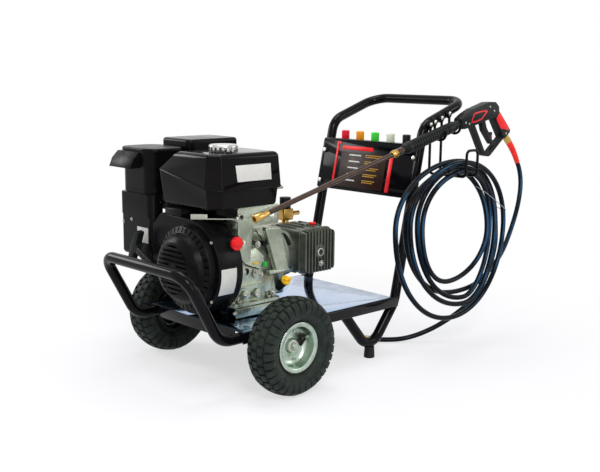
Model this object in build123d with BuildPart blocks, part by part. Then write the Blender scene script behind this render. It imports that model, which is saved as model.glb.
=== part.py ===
from build123d import *

import os
from math import cos, radians, sin, tan

# Petrol pressure washer on a two-wheeled cart, in millimetres.
# Cart axes while modelling: +X towards the push handle, -Y the gun side, +Z up, floor at Z = 0.
# The finished pieces are moved so that the origin is under the middle of the washer, on the floor.

# Driving dimensions: tube frame
TUBE_D = 30.0
FRAME_HALF = 187.0  # tube centre line from the middle plane
SHEET = 2.5  # folded deck plate
SEAT_GAP = 0.3  # room between pieces that seat on a curved face
DECK_TOP = 171.0
DECK_FRONT = -370.0
DECK_REAR = 206.0
DECK_LIP = 33.0
LIP_TAIL = 24.0  # side lips run this far past the rear edge
LEG_JOIN_X = 12.0  # rear leg meets the side rail
LEG_BOTTOM = (127.0, 17.0)  # corner under the rear foot, before its bend
UPRIGHT_FOOT = (232.0, 150.0)
UPRIGHT_TOP = (343.0, 671.0)
HANDLE_BAR = (542.0, 740.0)
HANDLE_BENDS = (50.0, 80.0, 60.0, 60.0)  # bend radii from the foot to the bar
GUARD_FOOT_X = -433.0
GUARD_BAR = (-533.0, 335.0)
GUARD_BENDS = (60.0, 50.0)
FOOT_D = 32.0

# Driving dimensions: wheels
AXLE_X = -260.0
AXLE_D = 15.9
AXLE_LUG = 6.0
WHEEL_R = 130.0
TYRE_W = 88.0
WHEEL_OUT = 63.2  # middle of a tyre from the side of the deck
TREAD_DEPTH = 5.0
TREAD_BLOCKS = 32
RIM_R = 62.0
RIM_FLANGE_R = 67.0
RIM_W = 56.0
RIM_SHEET = 3.0
HUB_D = 32.0
HUB_OUT = 5.0  # hub ends from the middle of the tyre
HUB_IN = 42.0
BUSH_D = 24.0
RUN_GAP = 0.05  # radial clearance of a running fit

# Driving dimensions: engine
CRANK_Y = 12.0
CRANK_Z = 308.0
ENGINE_BASE = 196.0
RECOIL_FRONT = -434.0
RECOIL_BACK = -375.0
BLOWER_BACK = -297.0
CASE_BACK = -150.0
PTO_FACE = -100.0
SHAFT_D = 28.0
BLOWER_R = 128.0
BLOWER_WALL = 2.0
RECOIL_R = 116.0
RECOIL_WALL = 2.5
PULLEY_R = 63.0
ROPE_D = 4.5
ROPE_OFFSET = 66.0  # rope line from the crank axis
ROPE_RISE = 25.8  # degrees above level
GRIP_OUT = 205.0  # grip bar along the rope from the tangent point
CYL_TILT = 25.0
TANK_X = (-391.0, -150.0)
TANK_Y = (-110.0, 138.0)
TANK_Z = (470.0, 616.0)
TANK_SEAM = (522.0, 566.0)  # seam height at the near and far side
TANK_SHOULDER = (52.0, 558.0)  # the far top edge slopes from this Y down to this Z
TANK_FACET = 32.0  # bevelled near front corner
CLEANER_X = (-376.0, -256.0)
CLEANER_Y = (190.0, 344.0)
CLEANER_Z = (300.0, 482.0, 612.0)
MUFFLER_X = (-236.0, -58.0)
MUFFLER_Y = (196.0, 330.0)
MUFFLER_Z = (470.0, 632.0)

# Driving dimensions: pump
PUMP_X = (-45.0, 78.0)
PUMP_Y = (-58.0, 72.0)
PUMP_Z = (254.0, 380.0)
PUMP_COVER = 30.0
PUMP_FINS = 9
MANIFOLD = 58.0

# Driving dimensions: gun and lance, along and above the lance axis
LANCE_TIP = (-354.0, 465.0)
LANCE_SLOPE = 14.4
LANCE_D = 14.0
LANCE_JOINT = 578.0
GRIP_D = 34.0
GUN_START = 838.0
GUN_THICK = 30.0

# Driving dimensions: panel and wire racks
PANEL_Z = (453.0, 612.0)
PANEL_HALF = FRAME_HALF + 13
PANEL_SHEET = 2.0
NOZZLE_PITCH = 64.0
NOZZLE_COLOURS = ("red", "orange", "green", "white", "black")
WIRE_D = 8.0
RACK_X = (352.0, 404.0)
RACK_ARM_Z = 530.0
RACK_OUT_Y = -343.0
RACK_LOOP_Z = 606.0

# Driving dimensions: hose
HOSE_D = 15.0
COIL_MIDDLE = (360.0, 333.0)
COIL_OUTER = (267.0, 250.0)
COIL_HOLE = (160.0, 162.0)
COIL_Y = (-330.0, -244.0)

# Worked-out sizes
TUBE_R = TUBE_D / 2
WIRE_R = WIRE_D / 2
HOSE_R = HOSE_D / 2
RAIL_Z = DECK_TOP - SHEET - TUBE_R - SEAT_GAP
AXLE_Z = WHEEL_R
DECK_HALF = FRAME_HALF + TUBE_R + SEAT_GAP + SHEET
WHEEL_Y = DECK_HALF + WHEEL_OUT
CRANK_AXIS = Plane(origin=(0, CRANK_Y, CRANK_Z), x_dir=(0, 1, 0), z_dir=(1, 0, 0))
WIRE_Y = -(FRAME_HALF + TUBE_R + SEAT_GAP + WIRE_R + 0.5)  # racks hang against the near arm
HOOK_R = GRIP_D / 2 + SEAT_GAP + WIRE_R + 0.2
LANCE_Y = WIRE_Y - HOOK_R
BIG = 400.0  # reach of a cutting tool

pieces = {}


def keep(name, builder):
    """Label a finished piece and keep it for export."""
    builder.part.label = name
    pieces[name] = builder.part


def upright_x(z):
    """X of the upright's centre line at height z."""
    (x0, z0), (x1, z1) = UPRIGHT_FOOT, UPRIGHT_TOP
    return x0 + (z - z0) * (x1 - x0) / (z1 - z0)


def arm_z(x):
    """Height of the handle arm's centre line at x."""
    (x0, z0), (x1, z1) = UPRIGHT_TOP, HANDLE_BAR
    return z0 + (x - x0) * (z1 - z0) / (x1 - x0)


def round_bar(points, bends, diameter):
    """A round bar bent along points, with one bend radius for each corner."""
    with BuildPart() as bar:
        with BuildLine() as route:
            FilletPolyline(*points, radius=bends)
        with BuildSketch(Plane(route.line @ 0, z_dir=route.line % 0)):
            Circle(diameter / 2)
        sweep(path=route.line)
    return bar.part


def both_sides(points, y):
    """Points (x, z) on the near side, then the same ones mirrored in reverse order."""
    near = [(x, -y, z) for x, z in points]
    far = [(x, y, z) for x, z in reversed(points)]
    return near + far


def along_x(x, y=CRANK_Y, z=CRANK_Z):
    """A work plane facing +X, with local x along +Y and local y along +Z."""
    return Plane(origin=(x, y, z), x_dir=(0, 1, 0), z_dir=(1, 0, 0))


def facing_near(y, x=0.0, z=0.0):
    """A work plane facing -Y, with local x along +X and local y along +Z."""
    return Plane(origin=(x, y, z), x_dir=(1, 0, 0), z_dir=(0, -1, 0))


# Tube frame: handle with uprights and rear legs in one bent tube
handle_points = [(LEG_JOIN_X, RAIL_Z), LEG_BOTTOM, UPRIGHT_FOOT, UPRIGHT_TOP, HANDLE_BAR]
BOLT_D = 8.0
BOLT_HOLE = BOLT_D + 0.4
BOLT_HEAD = 13.0
BOLT_HEAD_H = 5.5
HOOK_X = (372.0, 440.0)
LEAN = UPRIGHT_TOP[0] - UPRIGHT_FOOT[0], UPRIGHT_TOP[1] - UPRIGHT_FOOT[1]
PANEL_PLANE = Plane(
    origin=(upright_x(PANEL_Z[0]), 0, PANEL_Z[0]),
    x_dir=(0, -1, 0),
    z_dir=(-LEAN[1], 0, LEAN[0]),
)
PANEL_HEIGHT = (PANEL_Z[1] - PANEL_Z[0]) * (LEAN[0] ** 2 + LEAN[1] ** 2) ** 0.5 / LEAN[1]
PANEL_BOLTS = [
    (side * FRAME_HALF, up) for side in (-1, 1) for up in (24.0, PANEL_HEIGHT - 40.0)
]

handle_tube = round_bar(
    both_sides(handle_points, FRAME_HALF),
    list(HANDLE_BENDS) + list(reversed(HANDLE_BENDS)),
    TUBE_D,
)
with BuildPart() as handle_frame:
    add(handle_tube)
    # Rear legs are coped to the side rails
    for side in (-1, 1):
        with BuildSketch(along_x(LEG_JOIN_X - 90, side * FRAME_HALF, RAIL_Z)):
            Circle(TUBE_R)
        extrude(amount=180, mode=Mode.SUBTRACT)
    # Bolt holes for the panel and, on the near arm, for the wire racks
    with BuildSketch(PANEL_PLANE):
        with Locations(*PANEL_BOLTS):
            Circle(BOLT_HOLE / 2)
    extrude(amount=TUBE_D, both=True, mode=Mode.SUBTRACT)
    with BuildSketch(facing_near(-FRAME_HALF)):
        with Locations(*[(x, arm_z(x)) for x in RACK_X + HOOK_X]):
            Circle(BOLT_HOLE / 2)
    extrude(amount=TUBE_D, both=True, mode=Mode.SUBTRACT)
keep("handle_frame", handle_frame)

# Front guard: side rails and the raised front hoop in one tube, with welded axle lugs
RAIL_REAR_X = upright_x(RAIL_Z) - TUBE_R / 2
guard_points = [(RAIL_REAR_X, RAIL_Z), (GUARD_FOOT_X, RAIL_Z), GUARD_BAR]
LUG_R = 17.0
with BuildPart() as front_guard:
    add(
        round_bar(
            both_sides(guard_points, FRAME_HALF),
            list(GUARD_BENDS) + list(reversed(GUARD_BENDS)),
            TUBE_D,
        )
    )
    for side in (-1, 1):
        with BuildSketch(facing_near(side * FRAME_HALF, AXLE_X, AXLE_Z)):
            Circle(LUG_R)
            with Locations((0, (RAIL_Z - AXLE_Z) / 2)):
                Rectangle(2 * LUG_R, RAIL_Z - AXLE_Z)
        extrude(amount=AXLE_LUG / 2, both=True)
    with BuildSketch(facing_near(0, AXLE_X, AXLE_Z)):
        Circle(AXLE_D / 2 + RUN_GAP)
    extrude(amount=BIG, both=True, mode=Mode.SUBTRACT)
    add(handle_tube, mode=Mode.SUBTRACT)
keep("front_guard", front_guard)

# Rear feet: rubber bumpers shaped to the bend of the legs
FOOT_TOP = 34.0
FOOT_EDGE = 1.5
with BuildPart() as rear_feet:
    for side in (-1, 1):
        foot_middle = (LEG_BOTTOM[0], side * FRAME_HALF, 0)
        with BuildSketch(Plane(foot_middle, x_dir=(1, 0, 0), z_dir=(0, -1, 0))):
            with BuildLine():
                Polyline(
                    (0, 0),
                    (FOOT_D / 2 - FOOT_EDGE, 0),
                    (FOOT_D / 2, FOOT_EDGE),
                    (FOOT_D / 2 - 2, FOOT_TOP),
                    (0, FOOT_TOP),
                    close=True,
                )
            make_face()
        revolve(axis=Axis(foot_middle, (0, 0, 1)))
    add(handle_tube, mode=Mode.SUBTRACT)
keep("rear_feet", rear_feet)

# Deck: folded plate between the rails, with side lips outside the tubes
LIP_BEND = 6.0
FRONT_LIP_HALF = FRAME_HALF - TUBE_R - 2
RAIL_PITCH = 162.0  # engine bolt pattern across the crank
ENGINE_BOLT_X = (-272.0, -167.0)
engine_bolts = [(x, CRANK_Y + s * RAIL_PITCH / 2) for x in ENGINE_BOLT_X for s in (-1, 1)]
with BuildPart() as deck_tray:
    with BuildSketch(along_x(DECK_FRONT, 0, 0)) as deck_section:
        with Locations((0, DECK_TOP - DECK_LIP / 2)):
            Rectangle(2 * DECK_HALF, DECK_LIP)
        fillet(deck_section.vertices().group_by(Axis.Z)[-1], LIP_BEND)
        with Locations((0, DECK_TOP - SHEET - DECK_LIP / 2)):
            Rectangle(2 * (DECK_HALF - SHEET), DECK_LIP, mode=Mode.SUBTRACT)
    extrude(amount=DECK_REAR + LIP_TAIL - DECK_FRONT)
    with BuildSketch(Plane.XY.offset(DECK_TOP - DECK_LIP)):
        with Locations((DECK_REAR + LIP_TAIL / 2, 0)):
            Rectangle(LIP_TAIL, 2 * (DECK_HALF - SHEET))
    extrude(amount=DECK_LIP, mode=Mode.SUBTRACT)
    for x in (DECK_FRONT, DECK_REAR - SHEET):
        with BuildSketch(along_x(x, 0, DECK_TOP - DECK_LIP / 2)):
            Rectangle(2 * FRONT_LIP_HALF, DECK_LIP - SHEET)
        extrude(amount=SHEET)
    with BuildSketch(Plane.XY.offset(DECK_TOP)):
        with Locations(*engine_bolts):
            Circle(BOLT_HOLE / 2)
    extrude(amount=-SHEET, mode=Mode.SUBTRACT)
keep("deck_tray", deck_tray)

# Axle: a plain rod through the lugs
AXLE_HALF = WHEEL_Y + HUB_OUT + 12
with BuildPart() as axle:
    with BuildSketch(facing_near(AXLE_HALF, AXLE_X, AXLE_Z)):
        Circle(AXLE_D / 2)
    extrude(amount=2 * AXLE_HALF)
    chamfer(axle.edges().filter_by(GeomType.CIRCLE), 1.2)
keep("axle", axle)


def wheel_plane(side):
    """A work plane at the outer side of a wheel's middle, facing away from the cart."""
    return Plane(origin=(AXLE_X, side * WHEEL_Y, AXLE_Z), x_dir=(1, 0, 0), z_dir=(0, side, 0))


def spin(side):
    """A plane through the axle whose local x is the radius and local y points outwards."""
    return Plane(origin=(AXLE_X, side * WHEEL_Y, AXLE_Z), x_dir=(1, 0, 0), z_dir=(0, 0, side))


def axle_axis(side):
    """The turning axis of a wheel."""
    return Axis((AXLE_X, side * WHEEL_Y, AXLE_Z), (0, side, 0))


# Tread rows: outline (radius, distance from the middle) and phase in block pitches
TREAD_ROWS = (
    (((WHEEL_R - 9, 0), (WHEEL_R, 0), (WHEEL_R - 0.3, 8), (WHEEL_R - 9, 8)), 0.0),
    (((WHEEL_R - 10, 12), (WHEEL_R - 0.8, 12), (WHEEL_R - 4, 27), (WHEEL_R - 12, 26)), 0.5),
    (
        (
            (WHEEL_R - 15, 29),
            (WHEEL_R - 6.5, 31),
            (WHEEL_R - 14, TYRE_W / 2 - 3),
            (WHEEL_R - 26, TYRE_W / 2),
            (WHEEL_R - 37, TYRE_W / 2 - 2.5),
            (WHEEL_R - 33, TYRE_W / 2 - 9),
        ),
        0.0,
    ),
)
BLOCK_SHARE = 0.68  # part of the pitch that a block fills


def tread_row(outline, phase):
    """One ring of tread blocks on both halves of a tyre, drawn round the wheel's middle."""
    pitch = 360 / TREAD_BLOCKS
    with BuildPart() as row:
        with BuildSketch(Plane.XY) as profile:
            with BuildLine():
                Polyline(*outline, close=True)
            make_face()
            mirror(about=Plane.XZ)
        revolve(axis=Axis.Y)
        with BuildSketch(Plane.XZ.offset(-TYRE_W)):
            with PolarLocations(WHEEL_R, TREAD_BLOCKS, start_angle=phase * pitch):
                Rectangle(WHEEL_R, BLOCK_SHARE * radians(pitch) * WHEEL_R)
        extrude(amount=2 * TYRE_W, mode=Mode.INTERSECT)
    return row.part


def make_tyre():
    """A pneumatic tyre with rings of tread blocks, drawn round the wheel's middle."""
    half = TYRE_W / 2
    bead = RIM_W / 2 - RIM_SHEET - SEAT_GAP
    seat = RIM_R + SEAT_GAP
    wall = RIM_FLANGE_R + 3
    with BuildPart() as tyre:
        with BuildSketch(Plane.XY):
            with BuildLine():
                Polyline((seat, -bead), (seat, bead), (wall, bead))
                Spline(
                    (wall, bead),
                    (WHEEL_R - 32, half - 4),
                    (WHEEL_R - 14, half - 13),
                    (WHEEL_R - TREAD_DEPTH, 0),
                    (WHEEL_R - 14, 13 - half),
                    (WHEEL_R - 32, 4 - half),
                    (wall, -bead),
                )
                Line((wall, -bead), (seat, -bead))
            make_face()
        revolve(axis=Axis.Y)
        for outline, phase in TREAD_ROWS:
            add(tread_row(outline, phase))
    return tyre.part


def make_rim(side):
    """A pressed rim: drop-centre barrel, dished disc and hub tube."""
    half = RIM_W / 2
    disc_r = RIM_R - RIM_SHEET
    hub_r = HUB_D / 2
    with BuildPart() as rim:
        with BuildSketch(spin(side)):
            with BuildLine():
                Polyline(
                    (disc_r, -half + RIM_SHEET),
                    (disc_r - 1, half - RIM_SHEET),
                    (RIM_FLANGE_R - 1, half - RIM_SHEET),
                    (RIM_FLANGE_R, half),
                    (RIM_FLANGE_R - 2, half + 1),
                    (disc_r - 4, half - 2),
                    (disc_r - 8, 2),
                    (disc_r - 14, -4),
                    (hub_r + 16, -7),
                    (hub_r + 4, -4),
                    (hub_r, HUB_OUT),
                    (BUSH_D / 2, HUB_OUT),
                    (BUSH_D / 2, -HUB_IN),
                    (hub_r, -HUB_IN),
                    (hub_r, -14),
                    (hub_r + 14, -14),
                    (disc_r - 14, -10),
                    (disc_r - 5, -5),
                    (disc_r - 5, -half + 2),
                    (RIM_FLANGE_R - 2, -half - 1),
                    (RIM_FLANGE_R, -half),
                    (RIM_FLANGE_R - 1, -half + RIM_SHEET),
                    close=True,
                )
            make_face()
        revolve(axis=axle_axis(side))
        # Five bolts that clamp the two halves
        with BuildSketch(wheel_plane(side).offset(-7)):
            with PolarLocations(disc_r - 20, 5):
                RegularPolygon(5, 6)
        extrude(amount=7)
    return rim


tyre_ring = make_tyre()
for side, word in ((-1, "near"), (1, "far")):
    with BuildPart() as tyre:
        add(tyre_ring.moved(Location((AXLE_X, side * WHEEL_Y, AXLE_Z))))
    keep(f"{word}_tyre", tyre)
    keep(f"{word}_rim", make_rim(side))

# Hub bushes: flanged sleeves that the wheels turn on, fixed on the axle
BUSH_FLANGE = 3.0
hub_ends = (HUB_OUT + SEAT_GAP, -HUB_IN - SEAT_GAP)
with BuildPart() as hub_bushes:
    for side in (-1, 1):
        for end, out in zip(hub_ends, (1, -1)):
            with BuildSketch(wheel_plane(side).offset(end)):
                Circle(HUB_D / 2 - 1)
                Circle(AXLE_D / 2, mode=Mode.SUBTRACT)
            extrude(amount=out * BUSH_FLANGE)
            with BuildSketch(wheel_plane(side).offset(end)):
                Circle(BUSH_D / 2 - RUN_GAP)
                Circle(AXLE_D / 2, mode=Mode.SUBTRACT)
            extrude(amount=-out * (HUB_IN + HUB_OUT) * 0.4)
keep("hub_bushes", hub_bushes)

# Engine rails: two folded channels that lift the engine off the deck
RAIL_W = 46.0
RAIL_WALL = 3.0
CASE_BASE_X = (BLOWER_BACK + 1, -136.0)
RISE = ENGINE_BASE - DECK_TOP
with BuildPart() as engine_rails:
    for s in (-1, 1):
        rail_face = along_x(CASE_BASE_X[0], CRANK_Y + s * RAIL_PITCH / 2, DECK_TOP)
        with BuildSketch(rail_face) as rail_section:
            with Locations((0, RISE / 2)):
                Rectangle(RAIL_W, RISE)
            fillet(rail_section.vertices().group_by(Axis.Z)[-1], RAIL_WALL)
            with Locations((0, (RISE - RAIL_WALL) / 2)):
                Rectangle(RAIL_W - 2 * RAIL_WALL, RISE - RAIL_WALL, mode=Mode.SUBTRACT)
        extrude(amount=CASE_BASE_X[1] - CASE_BASE_X[0])
    with BuildSketch(Plane.XY.offset(ENGINE_BASE)):
        with Locations(*engine_bolts):
            Circle(BOLT_HOLE / 2)
    extrude(amount=-RAIL_WALL, mode=Mode.SUBTRACT)
keep("engine_rails", engine_rails)

# Crankcase: die-cast block with a bolting flange, side ribs and the finned barrel
FLANGE = 12.0
CASE_HALF = 100.0
CASE_NEAR = -84.0  # near wall, from the crank plane
SHAFT_BORE = SHAFT_D + 2 * RUN_GAP
CYL_X = -222.0
BARREL = (96.0, 158.0)
HEAD = 44.0
FIN_PITCH = 10.0
FIN = 3.0
FIN_WIDE = 134.0
FIN_DEEP = 138.0
CYLINDER = Plane(
    origin=(CYL_X, CRANK_Y, CRANK_Z),
    x_dir=(1, 0, 0),
    z_dir=(0, cos(radians(CYL_TILT)), sin(radians(CYL_TILT))),
)
with BuildPart() as crankcase:
    with BuildSketch(Plane.XY.offset(ENGINE_BASE)) as case_foot:
        with Locations(((CASE_BASE_X[0] + CASE_BASE_X[1]) / 2, CRANK_Y)):
            RectangleRounded(CASE_BASE_X[1] - CASE_BASE_X[0], 2 * CASE_HALF, 10)
    extrude(amount=FLANGE)
    with BuildSketch(along_x(BLOWER_BACK, CRANK_Y, ENGINE_BASE)) as case_section:
        with BuildLine():
            Polyline(
                (CASE_NEAR + 6, 0),
                (CASE_NEAR, 130),
                (CASE_NEAR + 34, 204),
                (44, 222),
                (96, 190),
                (96, 0),
                close=True,
            )
        make_face()
        fillet(case_section.vertices().group_by(Axis.Z)[1:], 16)
    extrude(amount=CASE_BACK - BLOWER_BACK)
    # Near wall: a level rib, a bearing boss and pads for the drain plugs
    with BuildSketch(facing_near(CRANK_Y + CASE_NEAR + 10)):
        with Locations(((BLOWER_BACK + CASE_BACK) / 2 - 10, ENGINE_BASE + 52)):
            SlotOverall(96, 7)
        with Locations((CASE_BACK - 105, ENGINE_BASE + 30), (CASE_BACK - 60, ENGINE_BASE + 30)):
            Circle(13)
        with Locations((CASE_BACK - 62, ENGINE_BASE + 88)):
            Circle(16)
        with Locations((CASE_BACK - 112, ENGINE_BASE + 94)):
            Circle(10)
    extrude(amount=15)
    # Barrel fins
    for step in range(6):
        with BuildSketch(CYLINDER.offset(BARREL[0] + 6 + step * FIN_PITCH)):
            RectangleRounded(FIN_WIDE, FIN_DEEP, 18)
        extrude(amount=FIN)
    with BuildSketch(CYLINDER.offset(40)):
        Circle(54)
    extrude(amount=BARREL[1] - 40)
    with BuildSketch(along_x(BLOWER_BACK - 1)):
        Circle(SHAFT_BORE / 2)
    extrude(amount=BIG, mode=Mode.SUBTRACT)
    with BuildSketch(Plane.XY.offset(ENGINE_BASE + FLANGE)):
        with Locations(*engine_bolts):
            Circle(BOLT_HOLE / 2)
    extrude(amount=-FLANGE, mode=Mode.SUBTRACT)
    # Flats for the bolt heads
    with BuildSketch(Plane.XY.offset(ENGINE_BASE + FLANGE)):
        with Locations(*engine_bolts):
            Circle(BOLT_HEAD * 0.75)
    extrude(amount=16, mode=Mode.SUBTRACT)
    split(bisect_by=along_x(BLOWER_BACK), keep=Keep.TOP)
keep("crankcase", crankcase)

# Cylinder head with fins, and the pressed valve cover on it
with BuildPart() as cylinder_head:
    with BuildSketch(CYLINDER.offset(BARREL[1])):
        RectangleRounded(112, 104, 14)
    extrude(amount=HEAD)
    for step in range(4):
        with BuildSketch(CYLINDER.offset(BARREL[1] + 4 + step * FIN_PITCH)):
            RectangleRounded(FIN_WIDE, FIN_DEEP, 18)
        extrude(amount=FIN)
keep("cylinder_head", cylinder_head)

COVER_TOP = 26.0
with BuildPart() as valve_cover:
    with BuildSketch(CYLINDER.offset(BARREL[1] + HEAD)):
        RectangleRounded(104, 92, 16)
    extrude(amount=4)
    with BuildSketch(CYLINDER.offset(BARREL[1] + HEAD + 4)):
        RectangleRounded(92, 80, 14)
    extrude(amount=COVER_TOP, taper=8)
    cover_face = valve_cover.faces().sort_by(Axis(CYLINDER.origin, CYLINDER.z_dir))[-1]
    fillet(cover_face.edges(), 6)
keep("valve_cover", valve_cover)

# Crankcase side cover, where the crankshaft comes out towards the pump
COLUMN = ((-194.0, 408.0), (-136.0, 404.0), (-104.0, 279.0), (-153.0, 282.0))
COLUMN_DEEP = 15.0
COLUMN_WEB = 20.0
COLUMN_FOOT_X = (-178.0, -103.0)
COLUMN_FOOT_D = 16.0
column_y = CRANK_Y + CASE_NEAR - SEAT_GAP
with BuildPart() as crankcase_cover:
    with BuildSketch(along_x(CASE_BACK, CRANK_Y, ENGINE_BASE)) as cover_section:
        with BuildLine():
            Polyline(
                (CASE_NEAR + 8, FLANGE),
                (CASE_NEAR + 4, 126),
                (CASE_NEAR + 40, 198),
                (40, 214),
                (92, 180),
                (92, FLANGE),
                close=True,
            )
        make_face()
        fillet(cover_section.vertices(), 18)
    extrude(amount=14)
    with BuildSketch(along_x(CASE_BACK + 14)):
        Circle(88)
    extrude(amount=PTO_FACE - CASE_BACK - 14, taper=6)
    # Sump bulge that takes the oil filler
    with BuildSketch(along_x(CASE_BACK + 14, CRANK_Y, ENGINE_BASE)):
        with Locations((-12, 46)):
            RectangleRounded(126, 72, 14)
    extrude(amount=PTO_FACE - CASE_BACK - 18)
    # Slanting column over the near wall, its bolting foot, and the web that joins it to the cover
    with BuildSketch(facing_near(column_y)) as column_face:
        with BuildLine():
            Polyline(*COLUMN, close=True)
        make_face()
        fillet(column_face.vertices(), 7)
    extrude(amount=COLUMN_DEEP)
    fillet(crankcase_cover.faces().sort_by(Axis.Y)[0].edges(), 4)
    with BuildSketch(facing_near(column_y + COLUMN_WEB)):
        with BuildLine():
            Polyline(
                (CASE_BACK + 2, COLUMN[3][1] + 6),
                (PTO_FACE - 4, COLUMN[2][1] + 6),
                (PTO_FACE - 16, CRANK_Z + 40),
                (CASE_BACK + 2, CRANK_Z + 40),
                close=True,
            )
        make_face()
    extrude(amount=COLUMN_WEB + COLUMN_DEEP / 2)
    with BuildSketch(along_x(COLUMN_FOOT_X[0], column_y - COLUMN_DEEP / 2, COLUMN[3][1] - 3)):
        Circle(COLUMN_FOOT_D / 2)
    extrude(amount=COLUMN_FOOT_X[1] - COLUMN_FOOT_X[0])
    with BuildSketch(along_x(CASE_BACK)):
        Circle(SHAFT_BORE / 2)
    extrude(amount=PTO_FACE - CASE_BACK, mode=Mode.SUBTRACT)
keep("crankcase_cover", crankcase_cover)

# Crankshaft and flywheel with fan blades turn together
FLYWHEEL_X = (-366.0, -312.0)
FLYWHEEL_R = 100.0
FAN_BLADES = 14
SHAFT_END = PUMP_X[0] + 40
with BuildPart() as crankshaft:
    with BuildSketch(along_x(FLYWHEEL_X[0] - 4)):
        Circle(SHAFT_D / 2)
    extrude(amount=SHAFT_END - FLYWHEEL_X[0] + 4)
    chamfer(crankshaft.edges().filter_by(GeomType.CIRCLE), 1.5)
keep("crankshaft", crankshaft)

with BuildPart() as flywheel:
    with BuildSketch(along_x(FLYWHEEL_X[1])):
        Circle(FLYWHEEL_R)
        Circle(SHAFT_D / 2, mode=Mode.SUBTRACT)
    extrude(amount=-18)
    with BuildSketch(along_x(FLYWHEEL_X[1] - 18)):
        Circle(30)
        Circle(SHAFT_D / 2, mode=Mode.SUBTRACT)
    extrude(amount=FLYWHEEL_X[0] - FLYWHEEL_X[1] + 18)
    with BuildSketch(along_x(FLYWHEEL_X[1] - 18)):
        with PolarLocations(FLYWHEEL_R - 22, FAN_BLADES):
            Rectangle(38, 3, rotation=24)
    extrude(amount=FLYWHEEL_X[0] - FLYWHEEL_X[1] + 18)
keep("flywheel", flywheel)

# Blower housing: a scroll-shaped pressed shell that leads cooling air over the barrel
SCROLL_FAR = 172.0
SCROLL_TOP = 96.0
INTAKE_R = 100.0
SWITCH_X = -312.0
SWITCH_Z = CRANK_Z + 74.0
SWITCH_FACE = CRANK_Y - BLOWER_R + 12
SWITCH_D = 36.0
SWITCH_BOSS = 32.0
STOP_SHAFT_D = 8.0
BLOWER_EDGE = 1.9
with BuildSketch(Plane.XY) as scroll_outer:
    Circle(BLOWER_R)
    with BuildLine():
        Polyline(
            (0, BLOWER_R),
            (SCROLL_FAR - 40, SCROLL_TOP + 36),
            (SCROLL_FAR, SCROLL_TOP),
            (SCROLL_FAR, -6),
            (0, -BLOWER_R + 30),
            close=True,
        )
    make_face()
with BuildSketch(Plane.XY) as scroll_inner:
    add(scroll_outer.sketch)
    offset(amount=-BLOWER_WALL, kind=Kind.INTERSECTION, mode=Mode.REPLACE)
with BuildPart() as blower_housing:
    with BuildSketch(along_x(RECOIL_BACK)):
        add(scroll_outer.sketch)
    extrude(amount=BLOWER_BACK - RECOIL_BACK)
    fillet(blower_housing.faces().sort_by(Axis.X)[0].edges(), BLOWER_EDGE)
    # Boss for the stop switch on the near shoulder
    with BuildSketch(facing_near(SWITCH_FACE, SWITCH_X, SWITCH_Z)):
        Circle(SWITCH_D / 2 + 3)
    extrude(amount=-SWITCH_BOSS)
    with BuildSketch(along_x(RECOIL_BACK + BLOWER_WALL)):
        add(scroll_inner.sketch)
    extrude(amount=BLOWER_BACK - RECOIL_BACK, mode=Mode.SUBTRACT)
    with BuildSketch(along_x(RECOIL_BACK)):
        Circle(INTAKE_R)
    extrude(amount=12, mode=Mode.SUBTRACT)
    with BuildSketch(facing_near(SWITCH_FACE, SWITCH_X, SWITCH_Z)):
        Circle(STOP_SHAFT_D / 2 + RUN_GAP)
    extrude(amount=-16, mode=Mode.SUBTRACT)
keep("blower_housing", blower_housing)

# Recoil cover: domed starter housing with a ring of cooling slots and a rope guide
ROPE_DIR = (0, cos(radians(ROPE_RISE)), sin(radians(ROPE_RISE)))
ROPE_X = (RECOIL_FRONT + RECOIL_BACK) / 2
ROPE_PLANE = Plane(
    origin=(
        ROPE_X,
        CRANK_Y + ROPE_OFFSET * sin(radians(ROPE_RISE)),
        CRANK_Z - ROPE_OFFSET * cos(radians(ROPE_RISE)),
    ),
    x_dir=(1, 0, 0),
    z_dir=ROPE_DIR,
)
GUIDE_OUT = 186.0
GUIDE_W = 22.0
POST_D = 16.0
RECOIL_SLOTS = 36
RECOIL_STEP = 27.0  # slotted ring, forward of the back edge
RECOIL_RING = (96.0, 112.0)
RECOIL_DOME_R = 88.0
LOUVRES = 9
LOUVRE_PITCH = 12.5
LOUVRE = 5.0
LOUVRE_R = 66.0
LOUVRE_HUB_R = 20.0


def recoil_section(wall):
    """Half section of the starter housing, drawn in by a wall thickness."""
    back, front = RECOIL_BACK, RECOIL_FRONT
    inner, outer = RECOIL_RING
    with BuildSketch(Plane(origin=(0, CRANK_Y, CRANK_Z), x_dir=(1, 0, 0), z_dir=(0, -1, 0))) as half:
        with BuildLine():
            Polyline(
                (back, 0),
                (back, RECOIL_R - wall),
                (back - 8, RECOIL_R - wall),
                (back - RECOIL_STEP + 7 + wall, outer - wall),
                (back - RECOIL_STEP + wall, inner - wall),
                (front + 16 + wall, RECOIL_DOME_R - wall),
                (front + 5 + wall, RECOIL_DOME_R - 12 - wall),
                (front + wall, RECOIL_DOME_R - 30),
                (front + wall, 0),
                close=True,
            )
        make_face()
    return half.sketch


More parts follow.
